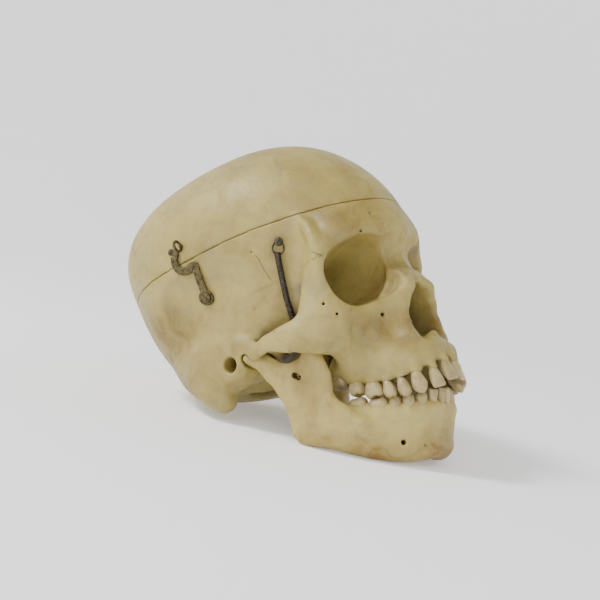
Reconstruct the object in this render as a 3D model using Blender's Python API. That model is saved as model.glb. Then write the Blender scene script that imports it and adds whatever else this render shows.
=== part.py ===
"""Human skull, life size: sawn skullcap, braincase, bones of the face, jaw, teeth, brass hooks and jaw springs.

The bone is shaped upright in millimetres, origin midway between the ear canals, face towards -Y, and the left
half is mirrored. The finished skull is then leaned back to rest on its jaw angles and the back of its head.
"""

import math

import bmesh
import bpy
import numpy as np
from mathutils import Matrix, Vector

MM = 0.001
LEAN = 31.4  # degrees that the head leans back where it lies
REST = (0.0, 1.38, 40.5)  # where the point between the ear canals lies once the skull rests on the floor, mm
GRID = 1.9  # spacing of the grid that the bone is shaped on
GAP = 0.3  # clear space between neighbouring pieces
FIT = 0.7  # clear space round the jaw joint
CRANIUM_FACETS = 7300
JAW_FACETS = 2200

BONE = (0.80, 0.72, 0.54)
TOOTH_BONE = (0.84, 0.78, 0.64)
BRASS = (0.30, 0.25, 0.12)
STEEL = (0.16, 0.14, 0.11)

SAW_HEIGHT = 53.4  # of the cut that frees the skullcap, over the ear canals
SAW_SLOPE = -0.045  # rise of the cut for each mm backwards
HALF_WIDTH = 78.0
BACK = 94.0
FRONT = -112.0
TOP = 124.0
BOTTOM = -96.0

# Upper and lower teeth of one side, from the middle back: edge or cusps, end of root, half width along the row,
# half depth across it, height of the crown, and kind.
UPPER = [
    ((4.5, -100.4, -51.0), (4.2, -93.6, -30.0), 4.0, 3.3, 10.8, "incisor"),
    ((12.6, -96.2, -53.6), (11.0, -91.5, -33.5), 3.3, 3.2, 10.0, "incisor"),
    ((19.6, -89.4, -54.2), (17.2, -85.5, -35.5), 3.9, 4.2, 10.8, "canine"),
    ((23.4, -81.8, -53.3), (21.6, -79.5, -37.0), 3.5, 4.4, 8.5, "premolar"),
    ((26.4, -74.6, -51.8), (24.3, -72.3, -36.0), 3.5, 4.5, 8.0, "premolar"),
    ((28.8, -66.6, -49.8), (26.8, -66.0, -35.0), 5.1, 5.5, 7.6, "molar"),
    ((30.2, -57.6, -46.0), (28.2, -57.6, -32.0), 4.6, 5.3, 7.3, "molar"),
    ((30.8, -48.2, -38.8), (28.6, -48.0, -26.0), 4.9, 5.2, 8.0, "molar"),
]
LOWER = [
    ((2.7, -91.0, -52.6), (2.6, -83.0, -66.0), 2.5, 3.0, 8.6, "incisor"),
    ((8.0, -89.2, -52.6), (7.6, -81.5, -66.0), 2.7, 3.1, 8.6, "incisor"),
    ((13.4, -85.2, -52.8), (13.0, -79.0, -66.0), 3.2, 3.8, 9.6, "canine"),
    ((18.6, -80.0, -54.2), (18.4, -75.0, -65.0), 3.3, 4.0, 8.2, "premolar"),
    ((22.8, -74.0, -52.9), (22.6, -70.4, -64.0), 3.4, 4.2, 7.8, "premolar"),
    ((26.6, -65.8, -50.7), (26.6, -64.4, -62.0), 5.3, 5.0, 7.0, "molar"),
    ((29.8, -55.4, -47.3), (30.0, -55.2, -59.0), 5.1, 4.9, 6.8, "molar"),
]

# Fittings of one side, as places along (y) and over (z) the ear canal. What lies on the bone finds its own x.
HOOK_ROUTE = [(14.4, 61.5), (12.0, 58.6), (12.6, 54.6), (9.8, 50.4), (6.0, 48.4), (3.2, 48.8), (1.2, 49.4)]
HOOK_ARM_END = (2.4, 30.6)
HOOK_WIDTH = 2.9
HOOK_THICKNESS = 1.2
HOOK_RING = 4.0  # radius of the round end under the screw
HOOK_LIFT = 1.6  # of the hook's middle over the bone
HOOK_SCREW_HEAD = 2.3
EYE_PLACE = (5.0, 61.0)
EYE_RING = 2.6
EYE_WIRE = 0.7
PIN_PLACE = (-47.3, 44.9)
PIN_HEAD = 2.4
PIN_SHANK = 1.0
SPRING_RADIUS = 1.75
SPRING_LIFT = 2.5
SPRING_ROUTE = [(-45.9, 38.0), (-45.2, 33.0), (-43.9, 26.0), (-42.6, 19.5), (-41.3, 13.0), (-39.6, 5.0)]
SPRING_TAIL = [(48.6, -38.6, -2.0), (45.6, -38.4, -8.0), (42.6, -38.0, -16.0), (41.2, -36.6, -24.0)]
RAMUS_HOLE = (-34.7, -27.6)
RAMUS_HOLE_RADIUS = 1.6


def v(*numbers):
    return np.array(numbers, np.float32)


def join(a, b, k):
    """The smaller distance, rounded over about k where the two are alike."""
    h = np.maximum(k - np.abs(a - b), 0) / k
    return np.minimum(a, b) - h * h * k * 0.25


def clip(a, b, k):
    return -join(-a, -b, k)


def turn_z(degrees):
    c, s = math.cos(math.radians(degrees)), math.sin(math.radians(degrees))
    return np.array([[c, -s, 0], [s, c, 0], [0, 0, 1]], np.float32)


def ball(p, centre, radii, turned=0):
    q = (p - v(*centre)) @ turn_z(turned)
    r = v(*radii)
    k0 = np.sqrt(((q / r) ** 2).sum(1))
    k1 = np.sqrt(((q / (r * r)) ** 2).sum(1))
    return k0 * (k0 - 1) / np.maximum(k1, 1e-6)


def rod(p, a, b):
    """A round rod from a to b, each (x, y, z, radius)."""
    start, end = v(*a[:3]), v(*b[:3])
    along = end - start
    q = p - start
    h = np.clip(q @ along / (along @ along), 0, 1)
    e = q - h[:, None] * along
    return np.sqrt((e * e).sum(1)) - (a[3] + (b[3] - a[3]) * h)


def chain(p, stations, k):
    parts = [rod(p, a, b) for a, b in zip(stations, stations[1:])]
    d = parts[0]
    for part in parts[1:]:
        d = join(d, part, k)
    return d


def beyond(p, point, normal):
    """Distance past a plane, on its normal's side."""
    n = v(*normal)
    return (p - v(*point)) @ (n / np.linalg.norm(n))


def squash(p, centre, normal, share):
    """Points spread apart along a normal, so that what is round in them is flat in space."""
    n = v(*normal)
    n /= np.linalg.norm(n)
    return p + ((p - v(*centre)) @ n)[:, None] * n * (1 / share - 1)


def outline(u, w, corners):
    """Signed distance to a closed outline in a plane."""
    d = np.full(u.shape, 1e9, np.float32)
    sign = np.ones(u.shape, np.float32)
    for (ax, ay), (bx, by) in zip(corners, corners[-1:] + corners[:-1]):
        ex, ey, wx, wy = bx - ax, by - ay, u - ax, w - ay
        t = np.clip((wx * ex + wy * ey) / (ex * ex + ey * ey), 0, 1)
        d = np.minimum(d, (wx - ex * t) ** 2 + (wy - ey * t) ** 2)
        above, below, left = w >= ay, w < by, ex * wy > ey * wx
        sign = np.where((above & below & left) | (~above & ~below & ~left), -sign, sign)
    return sign * np.sqrt(d)


def vault(p):
    p = np.sqrt(p * p + MIDLINE * MIDLINE) * v(1, 0, 0) + p * v(0, 1, 1)
    d = ball(p, (0, -2.9, 42.2), (57.3, 90.1, 70.2))
    d = join(d, ball(p, (0, -23.6, 62.8), (53.9, 44.1, 49.4)), 22)
    d = join(d, ball(p, (22.5, 18, 70.1), (46.7, 60.3, 38.4)), 25)
    d = join(d, ball(p, (0, 29.8, 36.3), (65.7, 40.9, 41.2)), 20)
    d = join(d, ball(p, (19.8, 36, -0.2), (29.1, 21.4, 18.3)), 16)
    d = join(d, ball(p, (35.1, -12.1, 12.2), (26.1, 30.1, 26)), 14)
    d = clip(d, beyond(p, (0, 5, -19), (0, -0.383, -0.923)), 10)
    return clip(d, beyond(p, (0, 30, -16), (0, 0.15, -1)), 8)


def brow(p):
    return chain(
        p,
        [(0, -84.6, 40, 7.6), (10, -82.8, 39.5, 6.0), (20, -79.7, 41, 4.8), (30, -75.7, 42, 4.3),
         (37.5, -71.4, 41, 4.1), (43.5, -67, 35, 3.7), (46, -64, 29, 3.4)],
        6,
    )


def rim_side(p):
    """The cheek bone's upright beside the eye socket: a plate, with the socket's rounded edge in front."""
    q = squash(p, (46.3, -59.5, 13), (0.93, -0.36, 0.08), 0.42)
    plate = chain(
        q,
        [(45.5, -63.8, 30, 4.4), (46.2, -61.8, 23, 5.8), (46.6, -59.8, 14, 6.8), (46.8, -59, 4, 8.4),
         (46.6, -59.5, -8, 10.5)],
        6,
    )
    edge = chain(p, [(45.6, -63.6, 30, 3.2), (44.8, -63.2, 22, 2.9), (44.2, -62.6, 12, 2.9), (43.6, -62.2, 2, 3.6)], 5)
    return join(plate * 0.6, edge, 4)


def rim_low(p):
    return chain(
        p,
        [(42.5, -62.5, -2.5, 5.4), (37.5, -67.2, -5, 5), (31, -71.2, -5.8, 4.6), (22.5, -76, -3.5, 4.2),
         (15, -80, 3, 3.7), (10.8, -82, 12, 3.2), (8, -82.5, 21, 3.2), (5.5, -83.5, 30, 4)],
        5,
    )


def nasal_ridge(p):
    middle = chain(
        p,
        [(0, -85.5, 37, 5.3), (0, -84.2, 30.5, 3.7), (0, -84.1, 25, 3), (0, -85.6, 19.8, 2.9),
         (0, -87.8, 14.6, 2.8), (0, -92.2, 9, 2.6)],
        4,
    )
    side = chain(p, [(3, -84.5, 33, 4), (4.5, -84.5, 23, 3.2), (6, -88.5, 12, 2.8), (9, -92, 4.5, 2.4)], 4)
    return join(middle, side, 5)


def cheek(p):
    q = squash(p, (44, -60, -8), (0.8, -0.58, -0.1), 0.6)
    body = chain(q, [(44, -60, -5, 11.5), (45, -59.2, -11.5, 9.2)], 8) * 0.75
    foot = chain(p, [(44, -60.5, -14.5, 5), (40, -62, -19, 4.6), (35.5, -61.5, -24, 4.8), (31, -59, -29.5, 6)], 6)
    return join(body, foot, 7)


def arch(p):
    """The cheek arch, bowed outwards, deep in front and slender behind."""
    bow = np.interp(p[:, 1], [-64, -56, -50, -42, -32, -22, -12, 0], [46, 51.5, 55, 58.2, 60, 60, 58.5, 56.5])
    q = p.copy()
    q[:, 0] = (p[:, 0] - bow) / 0.45
    stations = [(-60, -10.6, 8.4), (-51, -10.9, 7.6), (-45.5, -9.8, 7.0), (-42, -9.1, 6.0), (-36, -8.5, 4.6),
                (-29, -7.4, 3.1), (-24, -8.7, 2.5), (-18, -8.8, 3.0), (-10, -6.5, 4.2), (4, -2.5, 5)]
    return chain(q, [(0, y, z, r) for y, z, r in stations], 5) * 0.6


def maxilla(p):
    d = ball(p, (20, -64, -15), (17, 16.5, 20))
    d = join(d, ball(p, (12, -77, -27), (14, 13.5, 17)), 8)
    gum = [(0, -93, -31.5, 5.4), (9, -91.2, -33.5, 5.4), (16.3, -85.8, -36, 5.6), (21.6, -77.5, -36, 6.2),
           (25, -68.5, -34.5, 6.6), (27.3, -59, -32, 6.8), (27.8, -50, -29, 6.8)]
    d = join(d, chain(p, gum, 6), 6)
    nose_edge = [(9.3, -92, 4.5, 2.4), (12.8, -88.8, -4, 2.8), (14.6, -86.6, -14, 3.2), (14.5, -88, -23, 3.6)]
    d = join(d, chain(p, nose_edge, 5), 5)
    d = join(d, chain(p, [(9.5, -82, 17, 4.5), (13, -83, 4, 6), (17, -80, -8, 7)], 5), 5)
    return join(d, rod(p, (0, -94.5, -19.5, 1.6), (0, -91, -26, 4)), 5)


def ear_region(p):
    d = ball(p, (48, 24, -2), (12, 20, 20), 12)
    d = join(d, chain(p, [(52, 23, -8, 11), (52.5, 17.5, -20, 8), (52, 15, -25.5, 5.6)], 8), 8)
    d = join(d, ball(p, (51, 2, -10), (9, 11, 10)), 7)
    return join(d, ball(p, (43, -18, -8), (11, 9, 7)), 7)


def skull_base(p):
    d = ball(p, (0, 36, -4), (34, 24, 10))
    d = join(d, chain(p, [(0, 3, -10, 8), (0, -20, -1, 10), (0, -38, 6, 12)], 8), 10)
    d = join(d, ball(p, (15, 10, -13), (6, 10, 6), -25), 7)
    d = join(d, chain(p, [(46, 2, -10, 9), (28, -6, -9, 8), (12, -16, -5, 7)], 6), 8)
    d = join(d, chain(p, [(14, -32, 0, 6), (14, -35.5, -18, 4), (13, -38, -29, 3.2)], 4), 6)
    d = join(d, chain(p, [(18, -32, 0, 6), (20, -35, -16, 3.5), (22, -37.5, -28, 2.6)], 4), 5)
    return join(d, rod(p, (20, -38, 6, 14), (32, -42, 6, 12)), 10)


MIDLINE = 6.0  # how far the skullcap's halves are rounded into each other
SOCKET_DEEP = v(12, -38, 18)
SOCKET_MOUTH = v(28.5, -76, 16.8)
SOCKET_DROOP = 14  # degrees that the socket's outer corner hangs


def eye_socket(p, grow=0.0):
    """A rounded pyramid that narrows towards the back of the socket."""
    axis = SOCKET_MOUTH - SOCKET_DEEP
    length = np.linalg.norm(axis)
    axis = axis / length
    out = np.cross(v(0, 0, 1), axis)
    out = -out / np.linalg.norm(out) if out[0] < 0 else out / np.linalg.norm(out)
    up = np.cross(axis, out)
    up = up if up[2] > 0 else -up
    c, s = math.cos(math.radians(SOCKET_DROOP)), math.sin(math.radians(SOCKET_DROOP))
    q = p - SOCKET_DEEP
    t = q @ axis
    share = np.clip(t / length, 0.02, 1.3)
    wide = 19.3 * share**0.62 + 0.3
    high = 17.2 * share**0.55 + 0.3
    u = np.abs(q @ (out * c - up * s)) / wide
    w = np.abs(q @ (up * c + out * s)) / high
    d = ((u**2.6 + w**2.6) ** (1 / 2.6) - 1) * np.minimum(wide, high)
    return np.maximum(d * 0.9, -t) - grow


def socket_inner_edge(p):
    return chain(p, [(9, -86, 30, 2.2), (9.2, -85.2, 23, 1.9), (10.6, -84.3, 15, 1.9), (13, -82.6, 7.5, 2.0),
                     (17, -80, 2.2, 2.2)], 3)


def nose_hollow(p):
    z = p[:, 2]
    wide = np.interp(z, [-30, -24, -19, -13, -5, 2, 7], [5, 10, 12, 12.6, 10.4, 6.8, 3.6])
    d = (np.abs(p[:, 0]) / wide - 1) * wide * 0.9
    d = clip(d, -(z + 23.5), 6)
    d = clip(d, beyond(p, (0, -92, 6), (0, -0.22, 0.97)), 5)
    return clip(d, beyond(p, (0, -46, 0), (0, 1, 0)), 6)


def cranium(p):
    p = np.abs(p) * v(1, 0, 0) + p * v(0, 1, 1)
    d = join(vault(p), brow(p), 12)
    d = join(d, rim_side(p), 6)
    d = join(d, rim_low(p), 5)
    d = join(d, nasal_ridge(p), 6)
    wall = clip(eye_socket(p, 3.0), beyond(p, (29, -76, 17), (0.476, -0.847, -0.235)), 3)
    d = join(d, wall, 4)
    d = join(d, maxilla(p), 8)
    d = join(d, cheek(p), 8)
    d = join(d, arch(p), 6)
    d = join(d, ear_region(p), 9)
    d = join(d, skull_base(p), 9)
    d = clip(d, -eye_socket(p), 2)
    d = join(d, socket_inner_edge(p), 2.5)
    d = clip(d, -nose_hollow(p), 2.5)
    d = clip(d, -ball(p, (0, -66, -44), (21, 30, 15)), 5)
    d = clip(d, -rod(p, (0, 20, -30, 15.5), (0, 20, -12, 15)), 4)
    d = clip(d, -rod(p, (70, 1.5, -9.9, 4.4), (46, 1.5, -8.5, 3.6)), 2)
    return clip(d, FIT - jaw(p), 2)


RAMUS = [(-12, -12), (-14.5, -17), (-17, -26), (-19.5, -34), (-21.4, -41), (-21.6, -50), (-20.6, -57),
         (-24, -62.2), (-30, -64.6), (-42, -66.4), (-56, -68), (-56, -58), (-52.5, -50), (-51, -42), (-53, -32),
         (-51.5, -20), (-48.5, -11), (-46, -9), (-43, -14), (-38.5, -18.4), (-32, -19.2), (-26, -17.2), (-21.5, -13.2),
         (-18.5, -10)]


def jaw(p):
    p = np.abs(p) * v(1, 0, 0) + p * v(0, 1, 1)
    base = [(0, -73.6, -77.4, 6.5), (8, -72.3, -77.8, 6.4), (15, -67.8, -77.1, 6.3), (22, -61.8, -74.8, 6.2),
            (28, -54.5, -71, 6), (34, -47, -66.2, 5.7), (39, -39, -60.9, 5.3), (42, -31.5, -57.6, 5)]
    middle = [(0, -80.2, -67.5, 4.4), (8, -78.8, -68, 4.4), (14, -75.4, -68, 4.5), (19.3, -70.6, -67, 4.8),
              (24.4, -63.8, -64.5, 5.1), (29, -56.2, -61, 5.4), (33, -48.8, -56.5, 5.7)]
    crest = [(0, -85, -60.8, 3.4), (7.5, -83.9, -61.2, 3.5), (13.3, -80.6, -61.2, 3.7), (19, -75, -60.8, 4.1),
             (24, -67.6, -59.3, 4.6), (28, -59.4, -57.2, 5), (31.8, -51, -53.6, 5.2)]
    d = chain(p, base, 8)
    d = join(d, chain(p, middle, 6), 6)
    d = join(d, chain(p, crest, 6), 5)
    plate = np.abs(p[:, 0] - (54.4 + 0.14 * p[:, 1] + 0.094 * p[:, 2])) - 3.0
    d = join(d, clip(outline(p[:, 1], p[:, 2], RAMUS), plate, 4.5), 6)
    d = join(d, rod(p, (50.3, -20.2, -20, 4), (51.5, -16, -12, 4)), 5)
    d = join(d, ball(p, (51.5, -13.5, -10), (9, 4.2, 4.2), 12), 4)
    return join(d, ball(p, (0, -75.4, -79.8), (11, 6, 4.8)), 5)


def surface_x(y, z):
    """How far the cranium's side reaches out at a height and a place along the head."""
    x = np.arange(90, 20, -0.25)
    points = np.stack([x, np.full_like(x, y), np.full_like(x, z)], 1).astype(np.float32)
    return float(x[np.argmax(cranium(points) < 0)])


CORNERS = [(0, 0, 0), (1, 0, 0), (1, 1, 0), (0, 1, 0), (0, 0, 1), (1, 0, 1), (1, 1, 1), (0, 1, 1)]
TETRAHEDRA = [(0, 5, 1, 6), (0, 1, 2, 6), (0, 2, 3, 6), (0, 3, 7, 6), (0, 7, 4, 6), (0, 4, 5, 6)]


def grid_points(low, high):
    counts = [int(math.ceil((b - a) / GRID)) + 1 for a, b in zip(low, high)]
    axes = [a + GRID * np.arange(n, dtype=np.float32) for a, n in zip(low, counts)]
    return np.stack(np.meshgrid(*axes, indexing="ij"), -1)


def tetra_cells(values):
    """The four corners of every tetrahedron that the surface passes through."""
    shape = np.array(values.shape)
    ids = np.arange(values.size).reshape(shape)
    cells = np.stack(
        [ids[i : i + shape[0] - 1, j : j + shape[1] - 1, k : k + shape[2] - 1].ravel() for i, j, k in CORNERS], 1
    )
    inside = values.ravel()[cells] < 0
    cells = cells[inside.any(1) & ~inside.all(1)]
    tets = np.concatenate([cells[:, list(t)] for t in TETRAHEDRA])
    inside = values.ravel()[tets] < 0
    cut = inside.any(1) & ~inside.all(1)
    order = np.argsort(~inside[cut], axis=1, kind="stable")
    return np.take_along_axis(tets[cut], order, 1), inside[cut].sum(1)


def surface_of(values, points):
    """(points, triangles) of the surface where the values pass through zero, closed and facing out."""
    tets, count = tetra_cells(values)
    a, b, c, d = tets.T
    one, two, three = count == 1, count == 2, count == 3
    corners = [
        (one, [(a, b), (a, c), (a, d)]), (three, [(a, d), (b, d), (c, d)]),
        (two, [(a, c), (a, d), (b, d)]), (two, [(a, c), (b, d), (b, c)]),
    ]
    ends = np.concatenate([np.stack([np.stack(e, 1)[mask] for e in edges], 1) for mask, edges in corners])
    owners = np.concatenate([tets[mask] for mask, _ in corners])
    inner = np.concatenate([count[mask] for mask, _ in corners])
    size = values.size
    keys, index = np.unique(ends[..., 0] * size + ends[..., 1], return_inverse=True)
    start, end = keys // size, keys % size
    flat, places = values.ravel(), points.reshape(-1, 3)
    t = np.clip(flat[start] / (flat[start] - flat[end]), 0.06, 0.94)[:, None]
    spots = places[start] * (1 - t) + places[end] * t
    triangles = index.reshape(-1, 3)
    corner = places[owners]
    weight = (np.arange(4) < inner[:, None])[..., None]
    outward = (corner * ~weight).sum(1) / (~weight).sum(1) - (corner * weight).sum(1) / weight.sum(1)
    p0, p1, p2 = (spots[triangles[:, i]] for i in range(3))
    facing = np.einsum("ij,ij->i", np.cross(p1 - p0, p2 - p0), outward)
    triangles[facing < 0] = triangles[facing < 0][:, ::-1]
    return spots, triangles


def mesh_object(name, points, faces):
    mesh = bpy.data.meshes.new(name)
    mesh.from_pydata([tuple(map(float, q)) for q in points], [], [tuple(map(int, f)) for f in faces])
    thing = bpy.data.objects.new(name, mesh)
    bpy.context.scene.collection.objects.link(thing)
    return thing


def remove(*things):
    for thing in things:
        mesh = thing.data
        bpy.data.objects.remove(thing)
        bpy.data.meshes.remove(mesh)


def apply_modifiers(thing):
    graph = bpy.context.evaluated_depsgraph_get()
    mesh = bpy.data.meshes.new_from_object(thing.evaluated_get(graph))
    thing.modifiers.clear()
    old = thing.data
    thing.data = mesh
    bpy.data.meshes.remove(old)


def keep_largest(thing):
    """Leaves only the largest closed surface of a mesh."""
    bm = bmesh.new()
    bm.from_mesh(thing.data)
    unseen, shells = set(bm.verts), []
    while unseen:
        stack, shell = [unseen.pop()], []
        while stack:
            vert = stack.pop()
            shell.append(vert)
            for edge in vert.link_edges:
                other = edge.other_vert(vert)
                if other in unseen:
                    unseen.remove(other)
                    stack.append(other)
        shells.append(shell)
    shells.sort(key=len)
    bmesh.ops.delete(bm, geom=[vert for shell in shells[:-1] for vert in shell], context="VERTS")
    bm.to_mesh(thing.data)
    bm.free()


def bone_body(name, field, low, high, facets):
    """The mirrored surface of a field, thinned to a number of facets."""
    points = grid_points((0, low[1], low[2]), high)
    values = field(points.reshape(-1, 3)).reshape(points.shape[:3])
    values = np.concatenate([values[:0:-1], values])
    mirrored = points[:0:-1] * v(-1, 1, 1)
    spots, triangles = surface_of(values, np.concatenate([mirrored, points]))
    thing = mesh_object(name, spots, triangles)
    keep_largest(thing)
    thin = thing.modifiers.new("thin", "DECIMATE")
    thin.ratio = facets / len(thing.data.polygons)
    apply_modifiers(thing)
    return thing


def block(name, planes, grow=0.0):
    """A convex block bounded by planes, each (point, outward normal), moved out by grow."""
    bm = bmesh.new()
    bmesh.ops.create_cube(bm, size=400)
    for point, normal in planes:
        n = Vector(normal).normalized()
        cut = bmesh.ops.bisect_plane(
            bm, geom=bm.verts[:] + bm.edges[:] + bm.faces[:], plane_co=Vector(point) + n * grow,
            plane_no=n, clear_outer=True,
        )
        rim = [e for e in cut["geom_cut"] if isinstance(e, bmesh.types.BMEdge)]
        if rim:
            bmesh.ops.contextual_create(bm, geom=rim)
    bmesh.ops.recalc_face_normals(bm, faces=bm.faces[:])
    mesh = bpy.data.meshes.new(name)
    bm.to_mesh(mesh)
    bm.free()
    thing = bpy.data.objects.new(name, mesh)
    bpy.context.scene.collection.objects.link(thing)
    return thing


def boolean(thing, operation, other):
    step = thing.modifiers.new(operation, "BOOLEAN")
    step.operation = operation
    step.object = other
    step.solver = "EXACT"
    apply_modifiers(thing)


def part_off(thing, name, planes):
    """Cuts the piece inside the planes free of the rest, with the gap between them."""
    piece = thing.copy()
    piece.data = thing.data.copy()
    piece.name = piece.data.name = name
    bpy.context.scene.collection.objects.link(piece)
    inner, outer = block("inner", planes, -GAP / 2), block("outer", planes, GAP / 2)
    boolean(piece, "INTERSECT", inner)
    boolean(thing, "DIFFERENCE", outer)
    remove(inner, outer)
    keep_largest(piece)
    keep_largest(thing)
    return piece


def mirror_planes(planes):
    return [((-p[0], p[1], p[2]), (-n[0], n[1], n[2])) for p, n in planes]


CAP_PLANES = [((0, 0, SAW_HEIGHT), (0, SAW_SLOPE, -1))]
CHEEK_PLANES = [
    ((46, -64, 27.5), (0.1, 0.1, 1)),  # seam with the brow
    ((59, -39, -9), (0, 0.85, -0.5)),  # slanting seam in the arch
    ((39, -68, -14), (-0.78, -0.45, -0.2)),  # seam with the upper jaw, below the socket
    ((43.5, -58, 10), (-0.912, 0.41, 0)),  # seam with the wing of the skull behind the socket
]
NASAL_PLANES = [
    ((0, -88, 30), (0, 0.1, 1)),
    ((7, -88, 20), (1, 0.2, 0.18)),
    ((-7, -88, 20), (-1, 0.2, 0.18)),
    ((0, -82.5, 25), (0, 1, 0.3)),
    ((0, -92, 3.5), (0, 0, -1)),
]
BROW_PLANES = [
    ((0, -60, 27.5), (0, 0.05, -1)),
    ((0, -35, 36), (0, 1, -0.15)),  # seam across the head, behind the spring's pin
]
FACE_PLANES = [
    ((0, -86, 29.5), (0, 0.62, 0.78)),
    ((0, -42.2, 0), (0, 1, 0)),
]


def tooth_rings(tip, root, width, depth, crown, kind):
    """Rings of (centre, across, through, half width, half depth) from the edge of a tooth to its root's end."""
    tip, root = Vector(tip), Vector(root)
    axis = root - tip
    length = axis.length
    axis.normalize()
    out = Vector((0.42, -0.91, 0)) if kind != "molar" else Vector((0.91, -0.42, 0))
    if kind in ("canine", "premolar"):
        out = Vector((0.8, -0.6, 0))
    through = (out - axis * out.dot(axis)).normalized()
    across = axis.cross(through)
    shape = {
        "incisor": [(0, 0.86, 0.22), (0.25, 0.96, 0.5), (1, 0.64, 0.95)],
        "canine": [(0, 0.3, 0.25), (0.3, 0.98, 0.7), (1, 0.72, 0.98)],
        "premolar": [(0, 0.62, 0.55), (0.25, 1.0, 0.95), (1, 0.72, 0.92)],
        "molar": [(0, 0.74, 0.66), (0.25, 1.0, 1.0), (1, 0.82, 0.9)],
    }[kind]
    rings = [(tip + axis * s * crown, across, through, a * width, b * depth) for s, a, b in shape]
    rings.append((tip + axis * length, across, through, 0.5 * width, 0.6 * depth))
    return rings


def tooth(name, row, mirrored):
    rings = tooth_rings(*row)
    count = 8
    points = []
    for centre, across, through, a, b in rings:
        for i in range(count):
            angle = 2 * math.pi * (i + 0.5) / count
            c, s = math.cos(angle), math.sin(angle)
            q = centre + across * a * math.copysign(abs(c) ** 0.8, c) + through * b * math.copysign(abs(s) ** 0.8, s)
            points.append((-q.x, q.y, q.z) if mirrored else tuple(q))
    faces = [
        (r * count + i, r * count + (i + 1) % count, (r + 1) * count + (i + 1) % count, (r + 1) * count + i)
        for r in range(len(rings) - 1)
        for i in range(count)
    ]
    last = (len(rings) - 1) * count
    faces += [tuple(range(count))[::-1], tuple(range(last, last + count))]
    thing = mesh_object(name, points, faces)
    bm = bmesh.new()
    bm.from_mesh(thing.data)
    bmesh.ops.recalc_face_normals(bm, faces=bm.faces[:])
    bm.to_mesh(thing.data)
    bm.free()
    return thing


def add_teeth(bone, rows):
    teeth = bpy.data.collections.new("teeth")
    for i, row in enumerate(rows):
        for mirrored in (False, True):
            piece = tooth(f"tooth_{i}_{int(mirrored)}", row, mirrored)
            teeth.objects.link(piece)
    step = bone.modifiers.new("teeth", "BOOLEAN")
    step.operation = "UNION"
    step.operand_type = "COLLECTION"
    step.collection = teeth
    step.solver = "EXACT"
    apply_modifiers(bone)
    remove(*list(teeth.objects))
    bpy.data.collections.remove(teeth)
    keep_largest(bone)


def turned(name, profile, place, direction, sides=16):
    """A turned piece: profile is (radius, height) from bottom to top, standing at place along direction."""
    bm = bmesh.new()
    rings = []
    for radius, height in profile:
        rings.append([
            bm.verts.new((radius * math.cos(2 * math.pi * i / sides), radius * math.sin(2 * math.pi * i / sides), height))
            for i in range(sides)
        ])
    for low, high in zip(rings, rings[1:]):
        for i in range(sides):
            bm.faces.new((low[i], low[(i + 1) % sides], high[(i + 1) % sides], high[i]))
    bm.faces.new(rings[0][::-1])
    bm.faces.new(rings[-1])
    turn = Vector(direction).to_track_quat("Z", "Y").to_matrix().to_4x4()
    bm.transform(Matrix.Translation(place) @ turn)
    mesh = bpy.data.meshes.new(name)
    bm.to_mesh(mesh)
    bm.free()
    thing = bpy.data.objects.new(name, mesh)
    bpy.context.scene.collection.objects.link(thing)
    return thing


def tube(name, points, radii, cyclic=False, resolution=2):
    curve = bpy.data.curves.new(name, "CURVE")
    curve.dimensions = "3D"
    curve.bevel_depth = 1.0
    curve.bevel_resolution = resolution
    curve.use_fill_caps = True
    spline = curve.splines.new("POLY")
    spline.points.add(len(points) - 1)
    spline.use_cyclic_u = cyclic
    for slot, point, radius in zip(spline.points, points, radii):
        slot.co = (*point, 1)
        slot.radius = radius
    made = bpy.data.objects.new(name + "_curve", curve)
    bpy.context.scene.collection.objects.link(made)
    graph = bpy.context.evaluated_depsgraph_get()
    mesh = bpy.data.meshes.new_from_object(made.evaluated_get(graph))
    mesh.name = name
    bpy.data.objects.remove(made)
    bpy.data.curves.remove(curve)
    thing = bpy.data.objects.new(name, mesh)
    bpy.context.scene.collection.objects.link(thing)
    bm = bmesh.new()
    bm.from_mesh(mesh)
    bmesh.ops.remove_doubles(bm, verts=bm.verts[:], dist=1e-4)
    bmesh.ops.recalc_face_normals(bm, faces=bm.faces[:])
    bm.to_mesh(mesh)
    bm.free()
    return thing


def smooth_route(stations, steps):
    """Points along a smooth curve through the stations."""
    padded = [stations[0]] + list(stations) + [stations[-1]]
    route = []
    for a, b, c, d in zip(padded, padded[1:], padded[2:], padded[3:]):
        for i in range(steps):
            t = i / steps
            route.append(tuple(
                0.5 * (2 * q + (r - p) * t + (2 * p - 5 * q + 4 * r - s) * t * t + (3 * q - p - 3 * r + s) * t**3)
                for p, q, r, s in zip(a, b, c, d)
            ))
    route.append(tuple(stations[-1]))
    return route


def face_normal(y, z):
    """Outward direction of the cranium's left side."""
    x = surface_x(y, z)
    p = v(x, y, z)
    steps = np.eye(3, dtype=np.float32) * 1.5
    rise = [float(cranium((p + s)[None])[0] - cranium((p - s)[None])[0]) for s in steps]
    return Vector((x, y, z)), Vector(rise).normalized()


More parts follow.
